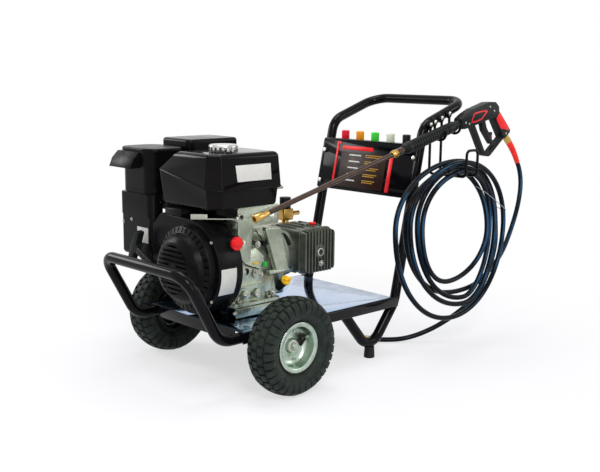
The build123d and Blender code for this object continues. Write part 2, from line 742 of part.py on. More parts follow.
with BuildPart() as recoil_cover:
    add(recoil_section(0))
    revolve(axis=Axis((0, CRANK_Y, CRANK_Z), (1, 0, 0)))
    add(recoil_section(RECOIL_WALL))
    revolve(axis=Axis((0, CRANK_Y, CRANK_Z), (1, 0, 0)), mode=Mode.SUBTRACT)
    # Ring of radial slots, and level louvres across the dome round its hub
    with BuildSketch(along_x(RECOIL_BACK - RECOIL_STEP - 3)):
        with PolarLocations(sum(RECOIL_RING) / 2, RECOIL_SLOTS):
            Rectangle(RECOIL_RING[1] - RECOIL_RING[0] - 3, LOUVRE)
    extrude(amount=RECOIL_STEP / 2, mode=Mode.SUBTRACT)
    with BuildSketch(along_x(RECOIL_FRONT - 1)):
        Circle(LOUVRE_R)
        Circle(LOUVRE_HUB_R, mode=Mode.SUBTRACT)
        with Locations((0, LOUVRE_PITCH / 2), (0, -LOUVRE_PITCH / 2)):
            with GridLocations(0, LOUVRE_PITCH, 1, LOUVRES):
                Rectangle(2 * LOUVRE_R, LOUVRE_PITCH - LOUVRE, mode=Mode.SUBTRACT)
    extrude(amount=4 * RECOIL_WALL, mode=Mode.SUBTRACT)
    # Rope guide arm towards the grip
    with BuildSketch(ROPE_PLANE.offset(65)):
        RectangleRounded(GUIDE_W, GUIDE_W, 5)
    extrude(amount=GUIDE_OUT - 65)
    with BuildSketch(ROPE_PLANE):
        Circle(ROPE_D / 2 + 0.8)
    extrude(amount=GUIDE_OUT + 10, mode=Mode.SUBTRACT)
    with BuildSketch(along_x(RECOIL_FRONT + RECOIL_WALL)):
        Circle(POST_D / 2)
    extrude(amount=RECOIL_BACK - RECOIL_FRONT - RECOIL_WALL - 4)
keep("recoil_cover", recoil_cover)

# Starter pulley on the cover's post, and the grip with its straight length of rope
with BuildPart() as starter_pulley:
    with BuildSketch(Plane(origin=(0, CRANK_Y, CRANK_Z), x_dir=(1, 0, 0), z_dir=(0, -1, 0))):
        with BuildLine():
            Polyline(
                (ROPE_X - 8, POST_D / 2 + RUN_GAP),
                (ROPE_X - 8, PULLEY_R),
                (ROPE_X - 5, PULLEY_R),
                (ROPE_X, PULLEY_R - 8),
                (ROPE_X + 5, PULLEY_R),
                (ROPE_X + 8, PULLEY_R),
                (ROPE_X + 8, POST_D / 2 + RUN_GAP),
                close=True,
            )
        make_face()
    revolve(axis=Axis((0, CRANK_Y, CRANK_Z), (1, 0, 0)))
keep("starter_pulley", starter_pulley)

GRIP_BAR = 104.0
GRIP_THICK = 20.0
GRIP_SEAT = GUIDE_OUT + SEAT_GAP
with BuildPart() as starter_grip:
    with BuildSketch(ROPE_PLANE.offset(8)):
        Circle(ROPE_D / 2)
    extrude(amount=GRIP_SEAT + 4 - 8)
    with BuildSketch(Plane(ROPE_PLANE.origin, x_dir=ROPE_DIR, z_dir=(1, 0, 0))):
        with BuildLine():
            FilletPolyline(
                (GRIP_SEAT, -9),
                (GRIP_SEAT, 9),
                (GRIP_SEAT + 10, 14),
                (GRIP_SEAT + 12, GRIP_BAR / 2),
                (GRIP_SEAT + 28, GRIP_BAR / 2 - 4),
                (GRIP_SEAT + 33, 0),
                (GRIP_SEAT + 28, 4 - GRIP_BAR / 2),
                (GRIP_SEAT + 12, -GRIP_BAR / 2),
                (GRIP_SEAT + 10, -14),
                radius=2.5,
                close=True,
            )
        make_face()
    extrude(amount=GRIP_THICK / 2, both=True)
keep("starter_grip", starter_grip)

# Fuel tank: two pressed halves on a sloping seam, with a bevelled corner and a filler neck
TANK_CORNER = 15.0
TANK_TAPER = (5.0, 7.0)  # degrees, above and below the seam
TANK_EDGE = (14.0, 11.0)  # rounding of the top and the bottom
SEAM_STEP = 2.0
NECK_AT = (-301.0, -41.0)
NECK_D = 50.0
NECK_H = 10.0
CAP_D = 78.0
CAP_H = 19.0
CAP_LIFT = 2.0
CAP_FLUTES = 18
seam_plane = Plane(
    origin=(0, TANK_Y[0], TANK_SEAM[0]),
    x_dir=(1, 0, 0),
    z_dir=(0, TANK_SEAM[0] - TANK_SEAM[1], TANK_Y[1] - TANK_Y[0]),
)
shoulder_plane = Plane(
    origin=(0, TANK_SHOULDER[0], TANK_Z[1]),
    x_dir=(1, 0, 0),
    z_dir=(0, TANK_Z[1] - TANK_SHOULDER[1], TANK_Y[1] - TANK_SHOULDER[0]),
)


def tank_outline(inset):
    """Plan of the tank with its bevelled near front corner."""
    x0, x1 = TANK_X[0] + inset, TANK_X[1] - inset
    y0, y1 = TANK_Y[0] + inset, TANK_Y[1] - inset
    with BuildSketch() as plan:
        with BuildLine():
            Polyline((x0 + TANK_FACET, y0), (x1, y0), (x1, y1), (x0, y1), (x0, y0 + TANK_FACET), close=True)
        make_face()
        fillet(plan.vertices(), TANK_CORNER)
    return plan.sketch


with BuildPart() as tank_pan:
    with BuildSketch(Plane.XY.offset(TANK_SEAM[1])):
        add(tank_outline(SEAM_STEP))
    extrude(amount=TANK_Z[0] - TANK_SEAM[1], taper=TANK_TAPER[1])
    fillet(tank_pan.faces().sort_by(Axis.Z)[0].edges(), TANK_EDGE[1])
    split(bisect_by=seam_plane, keep=Keep.BOTTOM)
with BuildPart() as fuel_tank:
    with BuildSketch(Plane.XY.offset(TANK_SEAM[0])):
        add(tank_outline(0))
    extrude(amount=TANK_Z[1] - TANK_SEAM[0], taper=TANK_TAPER[0])
    fillet(fuel_tank.faces().sort_by(Axis.Z)[-1].edges(), TANK_EDGE[0])
    split(bisect_by=seam_plane, keep=Keep.TOP)
    split(bisect_by=shoulder_plane, keep=Keep.BOTTOM)
    add(tank_pan.part)
    with BuildSketch(Plane.XY.offset(TANK_Z[1] - 1)):
        with Locations(NECK_AT):
            Circle(NECK_D / 2)
    extrude(amount=NECK_H + 1)
keep("fuel_tank", fuel_tank)

with BuildPart() as fuel_cap:
    with BuildSketch(Plane.XY.offset(TANK_Z[1] + CAP_LIFT)):
        with Locations(NECK_AT):
            Circle(CAP_D / 2)
    extrude(amount=CAP_H)
    fillet(fuel_cap.edges().group_by(Axis.Z)[-1], 5)
    with BuildSketch(Plane.XY.offset(TANK_Z[1] + CAP_LIFT)):
        with Locations(NECK_AT):
            with PolarLocations(CAP_D / 2 + 1, CAP_FLUTES):
                Circle(3.4)
    extrude(amount=CAP_H - 6, mode=Mode.SUBTRACT)
    with BuildSketch(Plane.XY.offset(TANK_Z[1] + CAP_LIFT)):
        with Locations(NECK_AT):
            Circle(NECK_D / 2 + RUN_GAP)
    extrude(amount=NECK_H - CAP_LIFT + SEAT_GAP, mode=Mode.SUBTRACT)
keep("fuel_cap", fuel_cap)

# Control bracket: steel plate on the near wall that carries the tank and the throttle lever
BRACKET = 3.0
BRACKET_X = (-280.0, -134.0)
BRACKET_Z = 318.0
BRACKET_BAND = 414.0  # lower edge of the wide upper part
BRACKET_LEG = 42.0
BRACKET_FLANGE = 52.0
bracket_y = CRANK_Y + CASE_NEAR - SEAT_GAP
bracket_mid = (BRACKET_X[0] + BRACKET_X[1]) / 2
THROTTLE_AT = (-294.0, -90.0)
THROTTLE_Z = 441.0
THROTTLE_PIN = 8.0
THROTTLE_SHELF = (-306.0, -262.0)
with BuildPart() as control_bracket:
    with BuildSketch(facing_near(bracket_y)) as bracket_face:
        with BuildLine():
            Polyline(
                (BRACKET_X[0], BRACKET_Z),
                (BRACKET_X[0] + BRACKET_LEG, BRACKET_Z),
                (BRACKET_X[0] + BRACKET_LEG + 10, BRACKET_BAND),
                (BRACKET_X[1], BRACKET_BAND),
                (BRACKET_X[1], TANK_Z[0]),
                (BRACKET_X[0], TANK_Z[0]),
                close=True,
            )
        make_face()
        fillet(bracket_face.vertices(), 9)
        with Locations((BRACKET_X[0] + 22, BRACKET_BAND - 40), (bracket_mid, BRACKET_BAND + 28)):
            Circle(8, mode=Mode.SUBTRACT)
        with Locations((BRACKET_X[1] - 26, BRACKET_BAND + 28)):
            SlotOverall(26, 10, mode=Mode.SUBTRACT)
    extrude(amount=BRACKET)
    with BuildSketch(Plane.XY.offset(TANK_Z[0])):
        with Locations((bracket_mid, bracket_y - BRACKET + BRACKET_FLANGE / 2)):
            Rectangle(BRACKET_X[1] - BRACKET_X[0] - 40, BRACKET_FLANGE)
    extrude(amount=-BRACKET)
    # Shelf and upright pin for the throttle lever
    with BuildSketch(Plane.XY.offset(THROTTLE_Z)):
        with Locations((sum(THROTTLE_SHELF) / 2, (THROTTLE_AT[1] - 12 + bracket_y) / 2)):
            Rectangle(THROTTLE_SHELF[1] - THROTTLE_SHELF[0], bracket_y - THROTTLE_AT[1] + 12)
    extrude(amount=-BRACKET)
    with BuildSketch(Plane.XY.offset(THROTTLE_Z)):
        with Locations(THROTTLE_AT):
            Circle(THROTTLE_PIN / 2)
    extrude(amount=8)
keep("control_bracket", control_bracket)

# Throttle lever: a long flat arm over the blower housing with an upright finger tab
LEVER = 3.0
LEVER_W = 9.0
LEVER_LENGTH = 123.0
LEVER_TURN = 137.5  # degrees from +X at rest
LEVER_TAB = (44.0, 14.0)
lever_plane = Plane(
    origin=(*THROTTLE_AT, THROTTLE_Z + SEAT_GAP),
    x_dir=(cos(radians(LEVER_TURN)), sin(radians(LEVER_TURN)), 0),
    z_dir=(0, 0, 1),
)
with BuildPart() as throttle_lever:
    with BuildSketch(lever_plane):
        Circle(THROTTLE_PIN / 2 + 6)
        with Locations((LEVER_LENGTH / 2, 0)):
            Rectangle(LEVER_LENGTH, LEVER_W)
        Circle(THROTTLE_PIN / 2 + RUN_GAP, mode=Mode.SUBTRACT)
        with Locations((26, 0)):
            Circle(2, mode=Mode.SUBTRACT)
    extrude(amount=LEVER)
    with BuildSketch(lever_plane):
        with Locations((LEVER_LENGTH - LEVER_TAB[0] / 2, LEVER_W / 2 - LEVER / 2)):
            Rectangle(LEVER_TAB[0], LEVER)
    extrude(amount=LEVER_TAB[1])
keep("throttle_lever", throttle_lever)

# Stop switch: a red turning knob with a paddle on the blower housing
KNOB_H = 9.0
with BuildPart() as stop_switch:
    with BuildSketch(facing_near(SWITCH_FACE - SEAT_GAP, SWITCH_X, SWITCH_Z)):
        Circle(SWITCH_D / 2)
    extrude(amount=KNOB_H)
    with BuildSketch(facing_near(SWITCH_FACE - SEAT_GAP - KNOB_H, SWITCH_X, SWITCH_Z)):
        SlotOverall(SWITCH_D - 4, 9)
    extrude(amount=6)
    with BuildSketch(facing_near(SWITCH_FACE - SEAT_GAP, SWITCH_X, SWITCH_Z)):
        Circle(STOP_SHAFT_D / 2)
    extrude(amount=-12)
keep("stop_switch", stop_switch)

# Air cleaner: base with the intake box in front of the head, and the tower with its hooded lid
BASE_T = 18.0
BOX_DEEP = 72.0
BOWL_Z = 418.0
BOWL_LIP = 3.0
CARB_ROOM = (31.0, 240.0)  # front wall depth, and the near side of the full-depth bowl
LEG_NEAR = CRANK_Y + SCROLL_FAR + 3
TOWER_CORNER = 36.0
GROOVE = 4.0
tower_mid = ((CLEANER_X[0] + CLEANER_X[1]) / 2, (CLEANER_Y[0] + CLEANER_Y[1]) / 2)
tower_size = (CLEANER_X[1] - CLEANER_X[0], CLEANER_Y[1] - CLEANER_Y[0])


def tower_outline(grow):
    """Rounded plan of the air cleaner's tower, grown by a lip."""
    with BuildSketch() as plan:
        with Locations(tower_mid):
            RectangleRounded(tower_size[0] + 2 * grow, tower_size[1] + 2 * grow, TOWER_CORNER + grow)
    return plan.sketch


with BuildPart() as air_cleaner_base:
    # Intake box down the front, under a bulged bowl that leaves room for the carburettor
    with BuildSketch(Plane.XY.offset(CLEANER_Z[0])):
        with Locations((CLEANER_X[0] + BOX_DEEP / 2, (LEG_NEAR + CLEANER_Y[1]) / 2)):
            RectangleRounded(BOX_DEEP, CLEANER_Y[1] - LEG_NEAR, 14)
    extrude(amount=BOWL_Z - CLEANER_Z[0])
    fillet(air_cleaner_base.edges().group_by(Axis.Z)[0], 12)
    bowl_near = CLEANER_Y[0] - BOWL_LIP
    with BuildSketch(Plane.XY.offset(BOWL_Z)):
        with Locations((CLEANER_X[0] + BOX_DEEP / 2, (bowl_near + CLEANER_Y[1] + BOWL_LIP) / 2)):
            RectangleRounded(BOX_DEEP + 2 * BOWL_LIP, CLEANER_Y[1] + BOWL_LIP - bowl_near, 20)
    extrude(amount=CLEANER_Z[1] - BOWL_Z)
    with BuildSketch(Plane.XY.offset(BOWL_Z)):
        with Locations((CLEANER_X[0] + CARB_ROOM[0] + BIG / 2, CARB_ROOM[1] - BIG / 2)):
            Rectangle(BIG, BIG)
    extrude(amount=CLEANER_Z[1] - BOWL_Z, mode=Mode.SUBTRACT)
    # Filter base plate above a groove
    with BuildSketch(Plane.XY.offset(CLEANER_Z[1])):
        add(tower_outline(-BOWL_LIP))
    extrude(amount=GROOVE)
    with BuildSketch(Plane.XY.offset(CLEANER_Z[1] + GROOVE)):
        add(tower_outline(0))
    extrude(amount=BASE_T - GROOVE)
keep("air_cleaner_base", air_cleaner_base)

COVER_BASE = CLEANER_Z[1] + BASE_T
HOOD_Z = 556.0
HOOD_OUT = 36.0
HOOD_NEAR = 236.0
HOOD_WALL = 3.0
CAP_LIP = 4.0
LID = 12.0
LID_LIP = 6.0


def hood_outline(wall):
    """Side view of the rain hood in X and Z, drawn in by a wall thickness."""
    face = CLEANER_X[0] - CAP_LIP
    return [
        (face + 14 - 6 * wall, HOOD_Z - wall),
        (face + 4 - HOOD_OUT + wall, HOOD_Z - wall),
        (face + 14 - HOOD_OUT + wall, HOOD_Z + 24),
        (face - 2, CLEANER_Z[2] - LID - 2 * wall),
        (face + 14 - 6 * wall, CLEANER_Z[2] - LID - wall),
    ]


with BuildPart() as cleaner_lid:
    with BuildSketch(Plane.XY.offset(CLEANER_Z[2] - LID)):
        add(tower_outline(LID_LIP))
    extrude(amount=LID)
    fillet(cleaner_lid.edges().group_by(Axis.Z)[-1], 5)
with BuildPart() as air_cleaner_cover:
    with BuildSketch(Plane.XY.offset(COVER_BASE)):
        add(tower_outline(0))
    extrude(amount=HOOD_Z - COVER_BASE)
    with BuildSketch(Plane.XY.offset(HOOD_Z)):
        add(tower_outline(CAP_LIP))
    extrude(amount=CLEANER_Z[2] - LID - HOOD_Z)
    # Rain hood over the air inlet on the front
    with BuildSketch(facing_near(CLEANER_Y[1])):
        with BuildLine():
            Polyline(*hood_outline(0), close=True)
        make_face()
    extrude(amount=CLEANER_Y[1] - HOOD_NEAR)
    with BuildSketch(facing_near(CLEANER_Y[1] - HOOD_WALL)):
        with BuildLine():
            Polyline(*hood_outline(HOOD_WALL), close=True)
        make_face()
    extrude(amount=CLEANER_Y[1] - HOOD_NEAR - 2 * HOOD_WALL, mode=Mode.SUBTRACT)
    add(cleaner_lid.part)
keep("air_cleaner_cover", air_cleaner_cover)

# Carburettor under the air cleaner, with the choke lever on its front
CARB_X = (-334.0, -268.0)
CARB_Y = 198.0
CARB_BOTTOM = CRANK_Z + SCROLL_TOP + 38
CHOKE_Z = CARB_BOTTOM + 17
CHOKE_PIN = 8.0
INTAKE_X = (CARB_X[1] - 2, CARB_X[1] + 34)
INTAKE_Y = (134.0, CARB_Y + 16)
INTAKE_Z = (CARB_BOTTOM + 2, CARB_BOTTOM + 24)
# Intake block that carries the carburettor on the upper side of the head
with BuildPart() as intake_block:
    with BuildSketch(Plane.XY.offset(INTAKE_Z[0] - 20)):
        with Locations(((INTAKE_X[0] + INTAKE_X[1]) / 2, (INTAKE_Y[0] + INTAKE_Y[1]) / 2)):
            Rectangle(INTAKE_X[1] - INTAKE_X[0], INTAKE_Y[1] - INTAKE_Y[0])
    extrude(amount=INTAKE_Z[1] - INTAKE_Z[0] + 20)
    head_side = Plane(
        origin=CYLINDER.from_local_coords((0, -FIN_DEEP / 2, 0)),
        x_dir=CYLINDER.x_dir,
        z_dir=-CYLINDER.y_dir,
    )
    split(bisect_by=head_side, keep=Keep.TOP)
    with BuildSketch(Plane.XY.offset(INTAKE_Z[0])):
        with Locations((CYL_X, INTAKE_Y[1])):
            Rectangle(BIG, 2 * (INTAKE_Y[1] - CARB_Y + 40))
    extrude(amount=-BIG, mode=Mode.SUBTRACT)
with BuildPart() as carburettor:
    add(intake_block.part)
    with BuildSketch(along_x(CARB_X[0], CARB_Y, (CARB_BOTTOM + CLEANER_Z[1]) / 2)):
        RectangleRounded(46, CLEANER_Z[1] - CARB_BOTTOM, 6)
    extrude(amount=CARB_X[1] - CARB_X[0])
    with BuildSketch(Plane.XY.offset(CARB_BOTTOM)):
        with Locations(((CARB_X[0] + CARB_X[1]) / 2, CARB_Y + 8)):
            Circle(26)
    extrude(amount=CLEANER_Z[1] - CARB_BOTTOM - 6)
    with BuildSketch(along_x(CARB_X[0], CARB_Y, CHOKE_Z)):
        Circle(CHOKE_PIN / 2)
    extrude(amount=-7)
keep("carburettor", carburettor)

CHOKE_ARM = 36.0
CHOKE_REST = 20.0
with BuildPart() as choke_lever:
    with BuildSketch(along_x(CARB_X[0] - SEAT_GAP, CARB_Y, CHOKE_Z)):
        Circle(CHOKE_PIN / 2 + 5)
        with Locations(Location((0, 0), 180 - CHOKE_REST)):
            with Locations((CHOKE_ARM / 2, 0)):
                SlotOverall(CHOKE_ARM + 8, 8)
        Circle(CHOKE_PIN / 2 + RUN_GAP, mode=Mode.SUBTRACT)
    extrude(amount=-4)
keep("choke_lever", choke_lever)

# Muffler with its exhaust pipe from the head, inside a perforated guard
GUARD_WALL = 2.0
GUARD_ROOM = 9.0
PIPE_D = 28.0
pipe_start = (CYL_X + 67 + SEAT_GAP, 166.0, 402.0)
pipe_rise = (MUFFLER_X[1] - 56.0, 240.0)
with BuildPart() as muffler:
    with BuildSketch(Plane.XY.offset(MUFFLER_Z[0] + 12)):
        with Locations(((MUFFLER_X[0] + MUFFLER_X[1]) / 2, (MUFFLER_Y[0] + MUFFLER_Y[1]) / 2)):
            RectangleRounded(
                MUFFLER_X[1] - MUFFLER_X[0] - 2 * GUARD_ROOM,
                MUFFLER_Y[1] - MUFFLER_Y[0] - 2 * GUARD_ROOM,
                24,
            )
    extrude(amount=MUFFLER_Z[1] - MUFFLER_Z[0] - 12 - GUARD_ROOM - GUARD_WALL)
    fillet(muffler.edges().group_by(Axis.Z)[-1] + muffler.edges().group_by(Axis.Z)[0], 8)
    with BuildSketch(Plane.XY.offset(MUFFLER_Z[1] - 30)):
        with Locations(((MUFFLER_X[0] + MUFFLER_X[1]) / 2, (MUFFLER_Y[0] + MUFFLER_Y[1]) / 2)):
            with GridLocations(70, 60, 2, 2):
                Circle(6)
    extrude(amount=30 - GUARD_WALL)
    add(
        round_bar(
            [
                pipe_start,
                (pipe_rise[0], *pipe_start[1:]),
                (*pipe_rise, pipe_start[2] + 26),
                (*pipe_rise, MUFFLER_Z[0] + 20),
            ],
            [16, 20],
            PIPE_D,
        )
    )
    with BuildSketch(along_x(*pipe_start)):
        RectangleRounded(44, 44, 8)
    extrude(amount=6)
keep("muffler", muffler)

GUARD_LID = 26.0
GUARD_LIP = 4.0
muffler_mid = ((MUFFLER_X[0] + MUFFLER_X[1]) / 2, (MUFFLER_Y[0] + MUFFLER_Y[1]) / 2)
muffler_size = (MUFFLER_X[1] - MUFFLER_X[0], MUFFLER_Y[1] - MUFFLER_Y[0])
with BuildPart() as muffler_guard:
    with BuildSketch(Plane.XY.offset(MUFFLER_Z[0])):
        with Locations(muffler_mid):
            RectangleRounded(*muffler_size, 16)
    extrude(amount=MUFFLER_Z[1] - MUFFLER_Z[0] - GUARD_LID)
    # Pan-shaped lid with a rounded rim
    with BuildSketch(Plane.XY.offset(MUFFLER_Z[1] - GUARD_LID)):
        with Locations(muffler_mid):
            RectangleRounded(*[size + 2 * GUARD_LIP for size in muffler_size], 20)
    extrude(amount=GUARD_LID)
    fillet(muffler_guard.faces().sort_by(Axis.Z)[-1].edges(), 9)
    with BuildSketch(Plane.XY.offset(MUFFLER_Z[0])):
        with Locations(muffler_mid):
            RectangleRounded(*[size - 2 * GUARD_WALL for size in muffler_size], 14)
    extrude(amount=MUFFLER_Z[1] - MUFFLER_Z[0] - GUARD_WALL, mode=Mode.SUBTRACT)
    # Rows of slots through the near, far, front and rear walls
    slots_z = (MUFFLER_Z[0] + MUFFLER_Z[1] - GUARD_LID) / 2
    with BuildSketch(facing_near(MUFFLER_Y[1], muffler_mid[0], slots_z)):
        with GridLocations(17, 43, 9, 3):
            SlotOverall(34, 7, rotation=90)
    extrude(amount=BIG, both=True, mode=Mode.SUBTRACT)
    with BuildSketch(along_x(MUFFLER_X[0] - 1, muffler_mid[1], slots_z)):
        with GridLocations(17, 43, 6, 3):
            SlotOverall(34, 7, rotation=90)
    extrude(amount=BIG, mode=Mode.SUBTRACT)
keep("muffler_guard", muffler_guard)

# Oil filler: tube on the side cover and the yellow dipstick cap
FILL_D = 24.0
FILL_BORE = 16.0
FILL_PLANE = Plane(origin=(-119.0, -40.0, 214.0), x_dir=(1, 0, 0), z_dir=(0, -0.8, 0.6))
FILL_LENGTH = 58.0
FILL_START = 12.0
with BuildPart() as oil_fill_tube:
    with BuildSketch(FILL_PLANE.offset(FILL_START)):
        Circle(FILL_D / 2)
    extrude(amount=FILL_LENGTH - FILL_START)
    add(crankcase_cover.part, mode=Mode.SUBTRACT)
    with BuildSketch(FILL_PLANE):
        Circle(FILL_BORE / 2)
    extrude(amount=FILL_LENGTH, mode=Mode.SUBTRACT)
keep("oil_fill_tube", oil_fill_tube)

with BuildPart() as dipstick:
    with BuildSketch(FILL_PLANE.offset(FILL_LENGTH + SEAT_GAP)):
        Circle(FILL_D / 2 + 2)
    extrude(amount=7)
    with BuildSketch(FILL_PLANE.offset(FILL_LENGTH + SEAT_GAP + 7)):
        SlotOverall(24, 9)
    extrude(amount=9)
    with BuildSketch(FILL_PLANE.offset(FILL_LENGTH + SEAT_GAP)):
        Circle(FILL_BORE / 2 - RUN_GAP)
    extrude(amount=-16)
keep("dipstick", dipstick)

# Pump flange: a bell with windows between the engine and the pump
BELL_R = (84.0, 72.0)
BELL_HOLLOW = 58.0
with BuildPart() as pump_flange:
    with BuildSketch(Plane(origin=(0, CRANK_Y, CRANK_Z), x_dir=(1, 0, 0), z_dir=(0, -1, 0))):
        with BuildLine():
            Polyline(
                (PTO_FACE, BELL_HOLLOW),
                (PTO_FACE, BELL_R[0]),
                (PTO_FACE + 10, BELL_R[0]),
                (PTO_FACE + 12, BELL_R[1]),
                (PUMP_X[0], BELL_R[1] - 4),
                (PUMP_X[0], SHAFT_D / 2 + 6),
                (PUMP_X[0] - 8, SHAFT_D / 2 + 6),
                (PUMP_X[0] - 8, BELL_HOLLOW),
                close=True,
            )
        make_face()
    revolve(axis=Axis((0, CRANK_Y, CRANK_Z), (1, 0, 0)))
    for turn in range(4):
        window = Plane(
            origin=((PTO_FACE + PUMP_X[0]) / 2 + 2, CRANK_Y, CRANK_Z),
            x_dir=(1, 0, 0),
            z_dir=(0, cos(radians(90 * turn + 45)), sin(radians(90 * turn + 45))),
        )
        with BuildSketch(window):
            RectangleRounded(22, 46, 6)
        extrude(amount=BIG, mode=Mode.SUBTRACT)
keep("pump_flange", pump_flange)

# Pump crankcase, finned rear cover and brass manifold
PUMP_MID = ((PUMP_X[0] + PUMP_X[1]) / 2, (PUMP_Z[0] + PUMP_Z[1]) / 2)
PUMP_SIZE = (PUMP_X[1] - PUMP_X[0], PUMP_Z[1] - PUMP_Z[0])
OIL_CAP_AT = (PUMP_MID[0] + 16, CRANK_Y - 16)
with BuildPart() as pump_body:
    with BuildSketch(facing_near(PUMP_Y[1], *PUMP_MID)):
        RectangleRounded(*PUMP_SIZE, 16)
    extrude(amount=PUMP_Y[1] - PUMP_Y[0])
    # Feet and stiffening ribs under and over the casting
    with BuildSketch(facing_near(PUMP_Y[1] - 20, *PUMP_MID)):
        with GridLocations(30, 0, 4, 1):
            Rectangle(5, PUMP_SIZE[1] + 8)
    extrude(amount=PUMP_Y[1] - PUMP_Y[0] - 44)
    with BuildSketch(along_x(PUMP_X[0])):
        Circle(SHAFT_D / 2 + RUN_GAP)
    extrude(amount=SHAFT_END - PUMP_X[0] + 4, mode=Mode.SUBTRACT)
    with BuildSketch(Plane.XY.offset(PUMP_Z[1])):
        with Locations(OIL_CAP_AT):
            Circle(12)
    extrude(amount=6)
keep("pump_body", pump_body)

COVER_PLATE = 8.0
FIN_W = 4.5
SIGHT_D = 30.0
with BuildPart() as pump_cover:
    with BuildSketch(facing_near(PUMP_Y[0], *PUMP_MID)):
        RectangleRounded(PUMP_SIZE[0] + 4, PUMP_SIZE[1] + 4, 16)
    extrude(amount=COVER_PLATE)
    with BuildSketch(facing_near(PUMP_Y[0] - COVER_PLATE, *PUMP_MID)):
        RectangleRounded(*PUMP_SIZE, 18)
    extrude(amount=PUMP_COVER - COVER_PLATE, taper=7)
    # Gaps between upright fins
    fin_pitch = PUMP_SIZE[0] / (PUMP_FINS + 1)
    with BuildSketch(facing_near(PUMP_Y[0] - COVER_PLATE, *PUMP_MID)):
        with GridLocations(fin_pitch, 0, PUMP_FINS, 1):
            Rectangle(fin_pitch - FIN_W, PUMP_SIZE[1] + 8)
        Circle(SIGHT_D / 2 + 4, mode=Mode.SUBTRACT)
    extrude(amount=PUMP_COVER, mode=Mode.SUBTRACT)
    with BuildSketch(facing_near(PUMP_Y[0] - PUMP_COVER, *PUMP_MID)):
        Circle(SIGHT_D / 2 - 4)
    extrude(amount=-4, mode=Mode.SUBTRACT)
keep("pump_cover", pump_cover)

VALVE_CAP = 12.0
with BuildPart() as pump_manifold:
    with BuildSketch(facing_near(PUMP_Y[1] + MANIFOLD, *PUMP_MID)):
        RectangleRounded(PUMP_SIZE[0] - 14, PUMP_SIZE[1] - 18, 12)
    extrude(amount=MANIFOLD)
    # Hexagon valve caps, two rows of three
    with BuildSketch(facing_near(PUMP_Y[1] + MANIFOLD, *PUMP_MID)):
        with GridLocations(33, 50, 3, 2):
            RegularPolygon(VALVE_CAP, 6)
    extrude(amount=-9)
    with BuildSketch(Plane.XY.offset(PUMP_Z[1] - 9)):
        with Locations((PUMP_MID[0] + 34, PUMP_Y[1] + MANIFOLD / 2)):
            Circle(11)
    extrude(amount=12)
keep("pump_manifold", pump_manifold)

# Water inlet: hose connector nut on the outer side of the manifold
INLET_Z = PUMP_Z[0] + 36
INLET_D = 36.0
INLET_BORE = 26.6
INLET_DEPTH = 14.0
INLET_LENGTH = 40.0
inlet_x = PUMP_X[1] - 7
with BuildPart() as pump_inlet:
    with BuildSketch(along_x(inlet_x, PUMP_Y[1] + MANIFOLD / 2, INLET_Z)):
        Circle(11)
    extrude(amount=INLET_LENGTH / 2)
    with BuildSketch(along_x(inlet_x + INLET_LENGTH / 2 - 4, PUMP_Y[1] + MANIFOLD / 2, INLET_Z)):
        Circle(INLET_D / 2)
    extrude(amount=INLET_LENGTH / 2 + 4)
    chamfer(pump_inlet.faces().sort_by(Axis.X)[-1].edges(), 1.5)
    with BuildSketch(along_x(inlet_x + INLET_LENGTH, PUMP_Y[1] + MANIFOLD / 2, INLET_Z)):
        Circle(INLET_BORE / 2)
    extrude(amount=-INLET_DEPTH, mode=Mode.SUBTRACT)
keep("pump_inlet", pump_inlet)

# Unloader valve on the manifold, with the high-pressure outlet and its ribbed knob
UNLOADER_AT = (PUMP_MID[0] + 34, PUMP_Y[1] + MANIFOLD / 2)
UNLOADER_Z = PUMP_Z[1] + 3
UNLOADER_H = 34.0
UNLOADER_NECK = 10.0
OUTLET_D = 14.0
OUTLET_LENGTH = 26.0
OUTLET_Z = UNLOADER_Z + 16
with BuildPart() as unloader_valve:
    with BuildSketch(Plane.XY.offset(UNLOADER_Z)):
        with Locations(UNLOADER_AT):
            RectangleRounded(40, 36, 6)
    extrude(amount=UNLOADER_H)
    with BuildSketch(Plane.XY.offset(UNLOADER_Z + UNLOADER_H)):
        with Locations(UNLOADER_AT):
            Circle(UNLOADER_NECK / 2)
    extrude(amount=22)
    with BuildSketch(along_x(UNLOADER_AT[0] + 20, UNLOADER_AT[1], OUTLET_Z)):
        RegularPolygon(12, 6)
    extrude(amount=9)
    with BuildSketch(along_x(UNLOADER_AT[0] + 29, UNLOADER_AT[1], OUTLET_Z)):
        Circle(OUTLET_D / 2)
    extrude(amount=OUTLET_LENGTH)
keep("unloader_valve", unloader_valve)

KNOB_D = 34.0
KNOB_RIBS = 12
with BuildPart() as unloader_knob:
    with BuildSketch(Plane.XY.offset(UNLOADER_Z + UNLOADER_H + SEAT_GAP)):
        with Locations(UNLOADER_AT):
            Circle(KNOB_D / 2)
            with PolarLocations(KNOB_D / 2, KNOB_RIBS):
                Circle(2.2, mode=Mode.SUBTRACT)
    extrude(amount=34)
    with BuildSketch(Plane.XY.offset(UNLOADER_Z + UNLOADER_H + SEAT_GAP)):
        with Locations(UNLOADER_AT):
            Circle(UNLOADER_NECK / 2 + RUN_GAP)
    extrude(amount=24, mode=Mode.SUBTRACT)
keep("unloader_knob", unloader_knob)

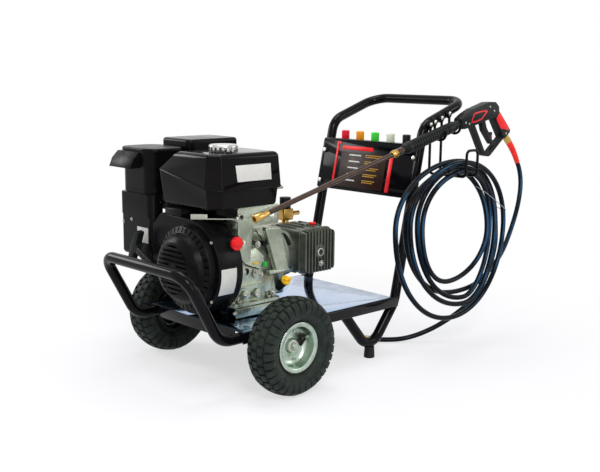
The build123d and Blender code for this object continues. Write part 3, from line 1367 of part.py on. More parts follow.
# Control panel: sheet on the uprights, folded back at the top into the nozzle shelf
SHELF = 42.0
SHELF_HALF = FRAME_HALF - TUBE_R - 3
NOZZLE_PLUG = 12.0
NOZZLE_HEAD = 25.0
NOZZLE_HEAD_H = 27.0
NOZZLE_DOWN = 26.0
NOZZLE_BORE = 8.0
panel_face = PANEL_PLANE.offset(TUBE_R + SEAT_GAP)
shelf_front = upright_x(PANEL_Z[1]) - TUBE_R - SEAT_GAP
NOZZLE_X = shelf_front + 22
nozzle_spots = [(NOZZLE_X, (2 - i) * NOZZLE_PITCH) for i in range(len(NOZZLE_COLOURS))]
with BuildPart() as control_panel:
    with BuildSketch(panel_face) as panel_sheet:
        with Locations((0, PANEL_HEIGHT / 2)):
            Rectangle(2 * PANEL_HALF, PANEL_HEIGHT)
        fillet(panel_sheet.vertices().group_by(Axis.Z)[0], 8)
        with Locations(*PANEL_BOLTS):
            Circle(BOLT_HOLE / 2, mode=Mode.SUBTRACT)
    extrude(amount=PANEL_SHEET)
    with BuildSketch(Plane.XY.offset(PANEL_Z[1])) as shelf:
        with Locations((shelf_front + SHELF / 2 - 3, 0)):
            Rectangle(SHELF, 2 * SHELF_HALF)
        fillet(shelf.vertices().group_by(Axis.X)[-1], 6)
        with Locations(*nozzle_spots):
            Circle(NOZZLE_PLUG / 2 + 0.5, mode=Mode.SUBTRACT)
    extrude(amount=PANEL_SHEET)
keep("control_panel", control_panel)


def make_nozzle(spot):
    """A quick-connect spray nozzle: coloured guard above the shelf, steel plug below it."""
    with BuildPart() as nozzle:
        with BuildSketch(Plane.XY.offset(PANEL_Z[1] + PANEL_SHEET + SEAT_GAP)):
            with Locations(spot):
                Circle(NOZZLE_HEAD / 2)
        extrude(amount=NOZZLE_HEAD_H)
        fillet(nozzle.edges().group_by(Axis.Z)[-1], 3)
        with BuildSketch(Plane.XY.offset(PANEL_Z[1] + PANEL_SHEET + SEAT_GAP)):
            with Locations(spot):
                Circle(NOZZLE_PLUG / 2)
        extrude(amount=-NOZZLE_DOWN)
        chamfer(nozzle.edges().group_by(Axis.Z)[0], 1.5)
        with BuildSketch(Plane.XY.offset(PANEL_Z[1] + NOZZLE_HEAD_H + 3)):
            with Locations(spot):
                Circle(NOZZLE_BORE / 2)
        extrude(amount=-14, mode=Mode.SUBTRACT)
    return nozzle


for colour, spot in zip(NOZZLE_COLOURS, nozzle_spots):
    keep(f"nozzle_{colour}", make_nozzle(spot))

# Gun and lance, drawn along the lance axis: local x along it, local y above it
slope = radians(LANCE_SLOPE)
GUN = Plane(
    origin=(LANCE_TIP[0], LANCE_Y, LANCE_TIP[1]),
    x_dir=(cos(slope), 0, sin(slope)),
    z_dir=(0, -1, 0),
)


def along_lance(u):
    """A work plane across the lance, u along it from the tip."""
    return Plane(origin=GUN.from_local_coords((u, 0, 0)), x_dir=(0, 1, 0), z_dir=GUN.x_dir)


COUPLER = 46.0
COUPLER_BORE = 12.2
COUPLER_DEPTH = 20.0
JOINT = 26.0
with BuildPart() as lance_coupler:
    with BuildSketch(along_lance(0)):
        Circle(11)
    extrude(amount=24)
    with BuildSketch(along_lance(24)):
        RegularPolygon(10, 6)
    extrude(amount=12)
    with BuildSketch(along_lance(36)):
        Circle(8.5)
    extrude(amount=COUPLER - 36)
    chamfer(lance_coupler.faces().sort_by(Axis(GUN.origin, GUN.x_dir))[0].edges(), 1.5)
    with BuildSketch(along_lance(0)):
        Circle(COUPLER_BORE / 2)
    extrude(amount=COUPLER_DEPTH, mode=Mode.SUBTRACT)
keep("lance_coupler", lance_coupler)

with BuildPart() as lance_tube:
    with BuildSketch(along_lance(COUPLER)):
        Circle(LANCE_D / 2)
    extrude(amount=LANCE_JOINT - COUPLER)
    with BuildSketch(along_lance(LANCE_JOINT - JOINT)):
        RegularPolygon(11, 6)
    extrude(amount=JOINT)
keep("lance_tube", lance_tube)

GRIP_RIBS = 16
GRIP_GROOVE = 1.4
with BuildPart() as lance_grip:
    with BuildSketch(Plane(GUN.origin, x_dir=GUN.x_dir, z_dir=GUN.z_dir)):
        with BuildLine():
            Polyline(
                (LANCE_JOINT, 0),
                (LANCE_JOINT, GRIP_D / 2 - 5),
                (LANCE_JOINT + 14, GRIP_D / 2),
                (GUN_START - 30, GRIP_D / 2),
                (GUN_START - 12, GRIP_D / 2 - 4),
                (GUN_START, GRIP_D / 2 - 4),
                (GUN_START, 0),
                close=True,
            )
        make_face()
    revolve(axis=Axis(GUN.origin, GUN.x_dir))
    groove_pitch = (GUN_START - LANCE_JOINT - 90) / GRIP_RIBS
    for step in range(GRIP_RIBS):
        with BuildSketch(along_lance(LANCE_JOINT + 30 + step * groove_pitch)):
            Circle(GRIP_D / 2 + 1)
            Circle(GRIP_D / 2 - GRIP_GROOVE, mode=Mode.SUBTRACT)
        extrude(amount=groove_pitch * 0.4, mode=Mode.SUBTRACT)
keep("lance_grip", lance_grip)

# Gun body: barrel, slanting grip and trigger guard in one moulding
BARREL_END = 1012.0
BARREL_TOP = 29.0
GRIP_TOP = (1010.0, 2.0)
GRIP_FOOT = (1057.0, -92.0)
GRIP_W = 38.0
GUARD_W = 15.0
GUARD_THICK = 18.0
PIVOT = (950.0, -8.0)
PIVOT_D = 6.0
TRIGGER_THICK = 14.0
TRIGGER_ROOM = 1.0
with BuildPart() as gun_body:
    with BuildSketch(GUN) as gun_outline:
        with BuildLine():
            FilletPolyline(
                (GUN_START, 16),
                (GUN_START + 30, 24),
                (GUN_START + 66, BARREL_TOP),
                (BARREL_END - 28, BARREL_TOP),
                (BARREL_END + 4, BARREL_TOP - 8),
                (BARREL_END + 18, 3),
                (BARREL_END + 17, -15),
                (GRIP_FOOT[0] + GRIP_W / 2, GRIP_FOOT[1] + 4),
                (GRIP_FOOT[0] + GRIP_W / 2 - 3, GRIP_FOOT[1] - 2),
                (GRIP_FOOT[0] - GRIP_W / 2 + 1, GRIP_FOOT[1] - 16),
                (BARREL_END - 8, -24),
                (GUN_START + 30, -20),
                (GUN_START, -16),
                radius=7,
                close=True,
            )
        make_face()
    extrude(amount=GUN_THICK / 2, both=True)
    with BuildSketch(GUN):
        with BuildLine():
            FilletPolyline(
                (GUN_START + 58, -14),
                (GUN_START + 96, -122),
                (GUN_START + 122, -133),
                (GRIP_FOOT[0] - 8, GRIP_FOOT[1] - 4),
                radius=14,
            )
        trace(line_width=GUARD_W)
    extrude(amount=GUARD_THICK / 2, both=True)
    # Slot and pin hole for the trigger
    with BuildSketch(GUN):
        with Locations((PIVOT[0] + 2, PIVOT[1] - 10)):
            Rectangle(52, 46)
    extrude(amount=TRIGGER_THICK / 2 + TRIGGER_ROOM, both=True, mode=Mode.SUBTRACT)
    with BuildSketch(GUN):
        with Locations(PIVOT):
            Circle(PIVOT_D / 2)
    extrude(amount=GUN_THICK / 2 - 2, both=True)
keep("gun_body", gun_body)

TRIGGER_END = (34.0, -98.0)  # from the pivot
LATCH_AT = (PIVOT[0] + 34.5, PIVOT[1] - 66.0)
LATCH_PIN = 3.0
LATCH_THICK = 5.0
LATCH_REST = -60.0  # degrees from the lance axis
LATCH_REACH = 15.0
EAR_R = 6.5
with BuildPart() as gun_trigger:
    with BuildSketch(GUN) as trigger_outline:
        with BuildLine():
            FilletPolyline(
                (PIVOT[0] - 9, PIVOT[1] + 8),
                (PIVOT[0] + 10, PIVOT[1] + 8),
                (PIVOT[0] + 16, PIVOT[1] - 40),
                (PIVOT[0] + TRIGGER_END[0] + 8, PIVOT[1] + TRIGGER_END[1] + 4),
                (PIVOT[0] + TRIGGER_END[0] - 6, PIVOT[1] + TRIGGER_END[1]),
                (PIVOT[0] - 4, PIVOT[1] - 44),
                radius=4,
                close=True,
            )
        make_face()
        with Locations(LATCH_AT):
            Circle(EAR_R)
        with Locations(PIVOT):
            Circle(PIVOT_D / 2 + RUN_GAP, mode=Mode.SUBTRACT)
    extrude(amount=TRIGGER_THICK / 2, both=True)
    # Slot between two ears, and the latch pin across it
    with BuildSketch(GUN):
        with Locations(LATCH_AT):
            Circle(EAR_R + 1)
    extrude(amount=LATCH_THICK / 2 + 0.5, both=True, mode=Mode.SUBTRACT)
    with BuildSketch(GUN):
        with Locations(LATCH_AT):
            Circle(LATCH_PIN / 2)
    extrude(amount=TRIGGER_THICK / 2, both=True)
keep("gun_trigger", gun_trigger)

# Trigger latch: red flip lock on the pin at the trigger's back
with BuildPart() as trigger_latch:
    with BuildSketch(GUN):
        with Locations(LATCH_AT):
            Circle(EAR_R - 2)
        with Locations(Location((*LATCH_AT, 0), (0, 0, LATCH_REST))):
            with Locations((LATCH_REACH / 2, 0)):
                SlotOverall(LATCH_REACH + 7, 7)
        with Locations(LATCH_AT):
            Circle(LATCH_PIN / 2 + RUN_GAP, mode=Mode.SUBTRACT)
    extrude(amount=LATCH_THICK / 2, both=True)
keep("trigger_latch", trigger_latch)


def lance_z(x):
    """Height of the lance axis at x."""
    return LANCE_TIP[1] + (x - LANCE_TIP[0]) * tan(slope)


# Wire hangers: the hose cradle and two lance hooks, each welded to bolting tabs
TAB = 3.0
TAB_R = 14.0
WIRE_TOP = 9.5  # wire ends this far under the bolt
WIRE_BEND = 14.0
tab_face = -(FRAME_HALF + TUBE_R + SEAT_GAP)
cradle_side = [(WIRE_Y, RACK_ARM_Z), (RACK_OUT_Y, RACK_ARM_Z), (RACK_OUT_Y, RACK_LOOP_Z)]
cradle = [(RACK_X[0], WIRE_Y, arm_z(RACK_X[0]) - WIRE_TOP)]
cradle += [(RACK_X[0], y, z) for y, z in cradle_side]
cradle += [(RACK_X[1], y, z) for y, z in reversed(cradle_side)]
cradle += [(RACK_X[1], WIRE_Y, arm_z(RACK_X[1]) - WIRE_TOP)]
with BuildPart() as wire_hangers:
    add(round_bar(cradle, WIRE_BEND, WIRE_D))
    for x in HOOK_X:
        under = lance_z(x) - HOOK_R / cos(slope)
        outside = LANCE_Y - HOOK_R
        hook = [
            (x, WIRE_Y, arm_z(x) - WIRE_TOP),
            (x, WIRE_Y, under),
            (x, outside, under),
            (x, outside, lance_z(x) + 6),
        ]
        add(round_bar(hook, HOOK_R - 0.5, WIRE_D))
    with BuildSketch(facing_near(tab_face)):
        with Locations(*[(x, arm_z(x)) for x in RACK_X + HOOK_X]):
            Circle(TAB_R)
            Circle(BOLT_HOLE / 2, mode=Mode.SUBTRACT)
    extrude(amount=TAB)
keep("wire_hangers", wire_hangers)

# Fasteners: hexagon bolts, deck nuts, and the collars and end caps of the axle
NUT_H = 6.5
CAP_OUT = 26.0
COLLAR_OUT = 22.0


def hex_bolts(plane, spots, shank):
    """Hexagon bolts whose heads stand on a plane, with shanks going back through it."""
    with BuildPart() as bolts:
        with BuildSketch(plane):
            with Locations(*spots):
                RegularPolygon(BOLT_HEAD / 2, 6, major_radius=False)
        extrude(amount=BOLT_HEAD_H)
        with BuildSketch(plane):
            with Locations(*spots):
                Circle(BOLT_D / 2)
        extrude(amount=-shank)
    return bolts.part


engine_bolt_length = FLANGE + RISE + SHEET + NUT_H + 3
hub_end = [end + out * BUSH_FLANGE for end, out in zip(hub_ends, (1, -1))]
with BuildPart() as fasteners:
    add(hex_bolts(Plane.XY.offset(ENGINE_BASE + FLANGE), engine_bolts, engine_bolt_length))
    add(hex_bolts(panel_face.offset(PANEL_SHEET), PANEL_BOLTS, TUBE_D + PANEL_SHEET + 4))
    rack_spots = [(x, arm_z(x)) for x in RACK_X + HOOK_X]
    add(hex_bolts(facing_near(tab_face - TAB), rack_spots, TUBE_D + TAB + 4))
    with BuildSketch(Plane.XY.offset(DECK_TOP - SHEET)):
        with Locations(*engine_bolts):
            RegularPolygon(BOLT_HEAD / 2, 6, major_radius=False)
            Circle(BOLT_D / 2, mode=Mode.SUBTRACT)
    extrude(amount=-NUT_H)
    for side in (-1, 1):
        with BuildSketch(wheel_plane(side).offset(hub_end[0])):
            Circle(CAP_OUT / 2)
            Circle(AXLE_D / 2, mode=Mode.SUBTRACT)
        extrude(amount=5)
        with BuildSketch(wheel_plane(side).offset(hub_end[1])):
            Circle(COLLAR_OUT / 2)
            Circle(AXLE_D / 2, mode=Mode.SUBTRACT)
        extrude(amount=DECK_HALF + 1 - WHEEL_Y - hub_end[1])
keep("fasteners", fasteners)

# Hose fittings: brass swivels at the gun and at the free end on the floor
INLET_DROP = 42.0  # gun inlet, degrees below level
gun_foot = (GRIP_FOOT[0] + 5, GRIP_FOOT[1] - 10)
inlet_dir = Vector(cos(radians(INLET_DROP)), 0, -sin(radians(INLET_DROP)))
GUN_INLET = Plane(origin=GUN.from_local_coords((*gun_foot, 0)), x_dir=(0, 1, 0), z_dir=inlet_dir)
SWIVEL_D = 22.0
SWIVEL = 30.0
SLEEVE = 92.0
SLEEVE_D = (21.0, 16.0)
SLEEVE_BEND = 18.0  # degrees that the sleeve droops along its length
HOSE_END_Z = SWIVEL_D / 2


def sleeve_plane(share):
    """A plane across the drooping sleeve, a share of the way along it."""
    first, here = radians(INLET_DROP), radians(INLET_DROP + SLEEVE_BEND * share)
    bend_r = SLEEVE / radians(SLEEVE_BEND)
    start = GUN_INLET.from_local_coords((0, 0, SWIVEL))
    moved = Vector(sin(here) - sin(first), 0, cos(here) - cos(first)) * bend_r
    return Plane(origin=start + moved, x_dir=(0, 1, 0), z_dir=(cos(here), 0, -sin(here)))


sleeve_end = sleeve_plane(1).origin

# Hose routes, chosen by eye along the hanging and lying hose
gun_route = [
    sleeve_end,
    Vector(795, -229, 513),
    Vector(802.5, -231, 476),
    Vector(796, -235, 440),
    Vector(779, -240, 396),
    Vector(752, -246, 352),
    Vector(717, -252, 303),
    Vector(680, -257, 259),
    Vector(634, -261, 224),
    Vector(582, -265, 197),
    Vector(528, -269, 172),
]
tail_route = [
    Vector(590, -277, 250),
    Vector(560, -275, 200),
    Vector(524, -270, 152),
    Vector(485, -260, 110),
    Vector(428, -235, 68),
    Vector(378, -200, 34),
    Vector(328, -163, 13),
    Vector(282, -128, 8),
    Vector(240, -92, HOSE_END_Z),
]


def hose_radii(route):
    """Bend radius at each inner point: as large as its two runs allow."""
    radii = []
    for before, here, after in zip(route, route[1:], route[2:]):
        first, second = here - before, after - here
        half_turn = radians(first.get_angle(second) / 2)
        radii.append(0.45 * min(first.length, second.length) / tan(half_turn))
    return radii


def hose_tube(route, word):
    """A plain hose tube along a route, with its radii and volume printed."""
    radii = hose_radii(route)
    tube = round_bar(route, radii, HOSE_D)
    print(word, "radii", [round(r) for r in radii], "length", round(tube.volume / (HOSE_R**2 * 3.14159)))
    return tube


# The top of the hole rests on both cradle arms
coil_hole_x = (RACK_X[0] + RACK_X[1]) / 2
arm_share = ((RACK_X[1] - RACK_X[0]) / 2 + WIRE_R) / COIL_HOLE[0]
coil_hole_z = RACK_ARM_Z + WIRE_R + SEAT_GAP - COIL_HOLE[1] * (1 - arm_share**2) ** 0.5
with BuildPart() as hose_coil:
    with BuildSketch(facing_near(COIL_Y[1])):
        with Locations(COIL_MIDDLE):
            Ellipse(*COIL_OUTER)
        with Locations((coil_hole_x, coil_hole_z)):
            Ellipse(*COIL_HOLE, mode=Mode.SUBTRACT)
    extrude(amount=COIL_Y[1] - COIL_Y[0])
keep("hose_coil", hose_coil)

with BuildPart() as hose_gun_run:
    add(hose_tube(gun_route, "gun run"))
    add(hose_coil.part, mode=Mode.SUBTRACT)
keep("hose_gun_run", hose_gun_run)

with BuildPart() as hose_tail:
    add(hose_tube(tail_route, "tail"))
    add(hose_coil.part, mode=Mode.SUBTRACT)
keep("hose_tail", hose_tail)

END_PLANE = Plane(origin=tail_route[-1], z_dir=tail_route[-1] - tail_route[-2])
with BuildPart() as hose_fittings:
    for seat in (GUN_INLET, END_PLANE):
        with BuildSketch(seat):
            Circle(SWIVEL_D / 2)
        extrude(amount=SWIVEL)
    with BuildSketch(END_PLANE.offset(SWIVEL)):
        Circle(SWIVEL_D / 2 - 5)
    extrude(amount=-12, mode=Mode.SUBTRACT)
    add(gun_body.part, mode=Mode.SUBTRACT)
keep("hose_fittings", hose_fittings)

# Hose sleeve: tapered red strain relief between the swivel and the hose
with BuildPart() as hose_sleeve:
    for step in range(5):
        with BuildSketch(sleeve_plane(step / 4)):
            Circle(SLEEVE_D[0] / 2 + (SLEEVE_D[1] - SLEEVE_D[0]) / 2 * step / 4)
    loft()
keep("hose_sleeve", hose_sleeve)

# Export: the origin is on the floor under the middle of everything but the hose
HOSE_NAMES = ("hose_coil", "hose_gun_run", "hose_tail", "hose_fittings", "hose_sleeve")
boxes = [piece.bounding_box() for name, piece in pieces.items() if name not in HOSE_NAMES]
middle = Vector(
    (min(box.min.X for box in boxes) + max(box.max.X for box in boxes)) / 2,
    (min(box.min.Y for box in boxes) + max(box.max.Y for box in boxes)) / 2,
    min(box.min.Z for box in boxes),
)
os.makedirs("parts", exist_ok=True)
for name, piece in pieces.items():
    placed = piece.moved(Location(-middle))
    placed.label = name
    export_step(placed, f"parts/{name}.step")
print(len(pieces), "pieces, origin in cart axes", [round(v, 4) for v in middle])
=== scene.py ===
import math

import bmesh
import bpy
from mathutils import Matrix, Vector


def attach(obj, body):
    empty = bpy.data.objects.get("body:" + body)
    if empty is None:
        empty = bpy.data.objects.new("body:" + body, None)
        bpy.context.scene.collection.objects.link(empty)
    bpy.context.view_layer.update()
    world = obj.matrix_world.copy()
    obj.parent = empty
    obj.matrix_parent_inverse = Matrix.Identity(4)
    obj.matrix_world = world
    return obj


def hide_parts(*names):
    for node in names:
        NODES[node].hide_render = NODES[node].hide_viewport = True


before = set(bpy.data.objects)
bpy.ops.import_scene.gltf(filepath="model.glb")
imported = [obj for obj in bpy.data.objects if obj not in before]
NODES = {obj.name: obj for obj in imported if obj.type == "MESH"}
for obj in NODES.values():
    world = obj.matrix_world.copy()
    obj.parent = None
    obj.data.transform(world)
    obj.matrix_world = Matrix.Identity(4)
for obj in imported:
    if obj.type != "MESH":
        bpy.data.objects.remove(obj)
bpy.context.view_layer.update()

# The CAD source works in cart axes, in millimetres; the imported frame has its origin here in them.
ORIGIN = Vector((80.6985, 1.5, 0.0))

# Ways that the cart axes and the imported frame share
NEAR = (0, -1, 0)
FRONT = (-1, 0, 0)
UP = (0, 0, 1)


def at(x, y, z):
    """A point of the cart axes (mm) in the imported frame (m)."""
    return (Vector((x, y, z)) - ORIGIN) / 1000


def put(name, data):
    """A new object in the scene."""
    made = bpy.data.objects.new(name, data)
    bpy.context.scene.collection.objects.link(made)
    return made


# Camera, solved from the photograph
CAMERA_AT = (-1843.7, -1975.15, 834.06)
CAMERA_RIGHT = Vector((0.732048, -0.681197, 0.008769))
CAMERA_UP = Vector((0.113541, 0.134689, 0.984361))
CAMERA_BACK = Vector((-0.671725, -0.719604, 0.175943))
CAMERA_SENSOR = 36.0  # mm
CAMERA_LENS = 56.09  # mm
CAMERA_SHIFT = 0.00755  # share of the picture's width
camera_data = bpy.data.cameras.new("camera")
camera_data.sensor_width = CAMERA_SENSOR
camera_data.lens = CAMERA_LENS
camera_data.shift_x = CAMERA_SHIFT
camera = put("camera", camera_data)
camera.matrix_world = Matrix.Translation(at(*CAMERA_AT)) @ Matrix(
    (
        (CAMERA_RIGHT.x, CAMERA_UP.x, CAMERA_BACK.x, 0),
        (CAMERA_RIGHT.y, CAMERA_UP.y, CAMERA_BACK.y, 0),
        (CAMERA_RIGHT.z, CAMERA_UP.z, CAMERA_BACK.z, 0),
        (0, 0, 0, 1),
    )
)
bpy.context.scene.camera = camera
bpy.context.scene.view_settings.view_transform = "Standard"


# Materials: colours that the recipes mix in
DUST = (0.45, 0.44, 0.42)
PALE_DUST = (0.5, 0.49, 0.46)
BARE_STEEL = (0.34, 0.33, 0.32)
RUST = (0.16, 0.13, 0.08)
# Dark colour of the painted shade on the inner side of the rims
PAINTED_RIM_SHADE = (0.010, 0.011, 0.010)
GLOSS_BLACK = (0.004, 0.004, 0.005)
# Pale blues of the deck top: a painted reflection of pale surroundings
DECK_REFLECTION_BLUES = ((0.29, 0.42, 0.66), (0.35, 0.48, 0.72))
ZINC = (0.40, 0.48, 0.41)
TYRE_BLACKS = ((0.007, 0.009, 0.008), (0.022, 0.031, 0.025))
TYRE_DUST = (0.070, 0.090, 0.072)
HOSE_BLACKS = ((0.002, 0.003, 0.004), (0.005, 0.009, 0.014))
# Blue of the painted sheen on the hose
SHEEN_BLUE = (0.020, 0.085, 0.18)

# How much dust lies on top of paint, and how much bare metal shows along its edges, 0 to 1
PAINT_DUST = 0.012
PAINT_WEAR = 0.08

# Where the painted shade on the inner side of each rim begins and is full, across the cart (m)
NEAR_RIM_INSIDE = (-0.262, -0.260)
FAR_RIM_INSIDE = (0.259, 0.257)

# The way the painted blue sheen on the hose faces, the cosines from it where the sheen begins and is
# full, and the heights where it fades out on the tail (m)
SHEEN_FACING = (-0.47, -0.86, 0.2)
SHEEN_WIDTH = (0.86, 0.96)
SHEEN_FADE = (0.08, 0.16)

# Cosines between the softened and the true normal, on a full edge and on a flat
EDGE_TURN = (0.75, 0.97)

# Between these two lies most of a noise
NOISE_LO, NOISE_HI = 0.3, 0.7

# Sockets of a map range, and of a mix of two colours
RANGE_KEYS = ("From Min", "From Max", "To Min", "To Max")
MIX_FIRST, MIX_SECOND, MIX_RESULT = 6, 7, 2


class Paint:
    """A node material on object coordinates, with short calls for its usual nodes."""

    def __init__(self, name, color, rough, metal=0.0, specular=0.5):
        self.material = bpy.data.materials.new(name)
        self.material.use_nodes = True
        self.tree = self.material.node_tree
        self.bsdf = self.tree.nodes["Principled BSDF"]
        self.bsdf.inputs["Base Color"].default_value = (*color, 1)
        self.bsdf.inputs["Roughness"].default_value = rough
        self.bsdf.inputs["Metallic"].default_value = metal
        self.bsdf.inputs["Specular IOR Level"].default_value = specular
        self.coords = self.node("ShaderNodeTexCoord").outputs["Object"]

    def node(self, kind, **settings):
        """A new node with its settings."""
        made = self.tree.nodes.new(kind)
        for key, value in settings.items():
            setattr(made, key, value)
        return made

    def link(self, source, target):
        """A link between two sockets."""
        self.tree.links.new(source, target)

    def noise(self, scale, detail=4.0, stretch=None):
        """Noise 0 to 1, with features of about 1 / scale metres."""
        made = self.node("ShaderNodeTexNoise")
        made.inputs["Scale"].default_value = scale
        made.inputs["Detail"].default_value = detail
        source = self.coords
        if stretch:
            squeeze = self.node("ShaderNodeMapping")
            squeeze.inputs["Scale"].default_value = stretch
            self.link(source, squeeze.inputs["Vector"])
            source = squeeze.outputs["Vector"]
        self.link(source, made.inputs["Vector"])
        return made.outputs["Fac"]

    def cells(self, scale):
        """Distance from the middle of cells of about 1 / scale metres."""
        made = self.node("ShaderNodeTexVoronoi")
        made.inputs["Scale"].default_value = scale
        self.link(self.coords, made.inputs["Vector"])
        return made.outputs["Distance"]

    def span(self, value, lo, hi, from_lo=NOISE_LO, from_hi=NOISE_HI):
        """A value stretched from one range to another and kept inside it."""
        made = self.node("ShaderNodeMapRange")
        for key, number in zip(RANGE_KEYS, (from_lo, from_hi, lo, hi)):
            made.inputs[key].default_value = number
        self.link(value, made.inputs["Value"])
        return made.outputs["Result"]

    def patches(self, scale, detail=4.0, from_lo=NOISE_LO, from_hi=NOISE_HI):
        """Noise stretched to the full 0 to 1."""
        return self.span(self.noise(scale, detail), 0.0, 1.0, from_lo, from_hi)

    def times(self, first, second):
        """The product of two values; a value is a float or a socket."""
        made = self.node("ShaderNodeMath", operation="MULTIPLY")
        for index, value in enumerate((first, second)):
            if isinstance(value, float):
                made.inputs[index].default_value = value
            else:
                self.link(value, made.inputs[index])
        return made.outputs["Value"]

    def mix(self, share, first, second):
        """A colour between two, by a share; a colour is a triple or a socket."""
        made = self.node("ShaderNodeMix", data_type="RGBA")
        self.link(share, made.inputs[0])
        for index, value in ((MIX_FIRST, first), (MIX_SECOND, second)):
            if isinstance(value, tuple):
                made.inputs[index].default_value = (*value, 1)
            else:
                self.link(value, made.inputs[index])
        return made.outputs[MIX_RESULT]

    def facing(self, way, from_lo, from_hi):
        """How far a surface faces a way, 0 to 1."""
        dot = self.node("ShaderNodeVectorMath", operation="DOT_PRODUCT")
        self.link(self.node("ShaderNodeNewGeometry").outputs["Normal"], dot.inputs[0])
        dot.inputs[1].default_value = way
        return self.span(dot.outputs["Value"], 0.0, 1.0, from_lo, from_hi)

    def facing_up(self, from_lo=0.55, from_hi=1.0):
        """How far a surface faces up, 0 to 1."""
        return self.facing(UP, from_lo, from_hi)

    def along(self, axis, lo, hi):
        """0 to 1 from one place to another along an axis (m)."""
        split = self.node("ShaderNodeSeparateXYZ")
        self.link(self.coords, split.inputs[0])
        return self.span(split.outputs[axis], 0.0, 1.0, lo, hi)

    def edges(self, radius=0.0012):
        """1 along sharp edges, 0 on flats."""
        soft = self.node("ShaderNodeBevel", samples=4)
        soft.inputs["Radius"].default_value = radius
        dot = self.node("ShaderNodeVectorMath", operation="DOT_PRODUCT")
        self.link(soft.outputs["Normal"], dot.inputs[0])
        self.link(self.node("ShaderNodeNewGeometry").outputs["Normal"], dot.inputs[1])
        return self.span(dot.outputs["Value"], 1.0, 0.0, *EDGE_TURN)

    def color_from(self, socket):
        """Takes the base colour from a socket."""
        self.link(socket, self.bsdf.inputs["Base Color"])

    def rough_from(self, scale, lo, hi, detail=4.0, stretch=None):
        """Lets the roughness wander between two values."""
        rough = self.span(self.noise(scale, detail, stretch), lo, hi)
        self.link(rough, self.bsdf.inputs["Roughness"])

    def bump(self, height, strength, distance=0.0005):
        """Raises the surface by a height of up to a distance (m)."""
        made = self.node("ShaderNodeBump")
        made.inputs["Strength"].default_value = strength
        made.inputs["Distance"].default_value = distance
        self.link(height, made.inputs["Height"])
        self.link(made.outputs["Normal"], self.bsdf.inputs["Normal"])


def shade(color, by):
    """A colour made lighter or darker."""
    return tuple(min(1.0, c * by) for c in color)


def painted(name, color, rough, specular):
    """Painted or powder-coated metal: orange peel, a little dust on top, worn edges."""
    p = Paint(name, color, rough, specular=specular)
    base = p.mix(p.patches(9.0), shade(color, 0.75), shade(color, 1.3))
    dusty = p.times(p.times(p.facing_up(), p.patches(26.0, 6.0)), PAINT_DUST)
    base = p.mix(dusty, base, DUST)
    patchy = p.times(p.times(p.edges(), p.patches(60.0, from_lo=0.45, from_hi=0.7)), PAINT_WEAR)
    p.color_from(p.mix(patchy, base, BARE_STEEL))
    p.rough_from(18.0, rough * 0.8, rough * 1.35)
    p.bump(p.noise(420.0, 2.0), strength=0.06)
    return p.material


def cast(name, color, rough, metal=0.9, stain=0.35):
    """Blasted casting: fine grain, darker stains in random patches, brighter edges."""
    p = Paint(name, color, rough, metal)
    base = p.mix(p.patches(14.0, 6.0), shade(color, 0.72), shade(color, 1.15))
    stains = p.times(p.patches(38.0, 8.0, from_lo=0.5, from_hi=0.78), stain)
    base = p.mix(stains, base, shade(color, 0.35))
    p.color_from(p.mix(p.times(p.edges(radius=0.002), 0.5), base, shade(color, 1.5)))
    p.rough_from(70.0, rough * 0.75, rough * 1.25)
    p.bump(p.noise(900.0, 3.0), strength=0.35, distance=0.0004)
    return p.material


def moulded(name, color, rough, grain=1400.0, deep=0.18, specular=0.22, vary=0.18, dust=0.01):
    """Moulded plastic or rubber with a fine spark texture."""
    p = Paint(name, color, rough, specular=specular)
    base = p.mix(p.patches(24.0, 5.0), shade(color, 1 - vary), shade(color, 1 + vary))
    dusty = p.times(p.times(p.facing_up(), p.patches(40.0, 6.0)), dust)
    p.color_from(p.mix(dusty, base, PALE_DUST))
    p.rough_from(55.0, rough * 0.85, rough * 1.15)
    p.bump(p.cells(grain), strength=deep, distance=0.0003)
    return p.material


def plated(name, color, rough, scratch=0.12, tint=None):
    """Plated or turned metal: fine drawn lines, slight stains."""
    p = Paint(name, color, rough, 1.0)
    base = p.mix(p.patches(30.0, 6.0), shade(color, 0.75), shade(color, 1.1))
    p.color_from(p.mix(p.times(p.patches(8.0), 0.35), base, tint or shade(color, 0.7)))
    p.rough_from(120.0, rough * 0.75, rough * 1.4, 3.0, stretch=(1.0, 1.0, 9.0))
    p.bump(p.noise(700.0, 2.0), strength=scratch, distance=0.0002)
    return p.material


def galvanised(name):
    """Zinc-plated pressed steel with crystal patches and rust freckles; the inner side, between the
    wheels, is painted dark as shade.
    """
    p = Paint(name, ZINC, 0.3, 1.0)
    base = p.mix(p.patches(60.0, 5.0), shade(ZINC, 0.88), shade(ZINC, 1.1))
    freckles = p.times(p.patches(75.0, 8.0, from_lo=0.62, from_hi=0.75), 0.4)
    # The inner side of each rim is painted dark: painted shade
    rim_shade = p.times(p.along("Y", *NEAR_RIM_INSIDE), p.along("Y", *FAR_RIM_INSIDE))
    p.color_from(p.mix(rim_shade, p.mix(freckles, base, RUST), PAINTED_RIM_SHADE))
    p.rough_from(40.0, 0.2, 0.42)
    p.bump(p.noise(300.0), strength=0.1, distance=0.0003)
    return p.material


def tyre_rubber(name):
    """Black rubber, dusty in the tread and with a fine moulded grain."""
    p = Paint(name, (0.012, 0.013, 0.012), 0.55, specular=0.14)
    base = p.mix(p.patches(16.0, 6.0), *TYRE_BLACKS)
    dust = p.times(p.patches(45.0, 8.0, from_lo=0.5, from_hi=0.75), 0.3)
    p.color_from(p.mix(dust, base, TYRE_DUST))
    p.rough_from(50.0, 0.42, 0.68)
    p.bump(p.noise(500.0, 4.0), strength=0.25, distance=0.0006)
    return p.material


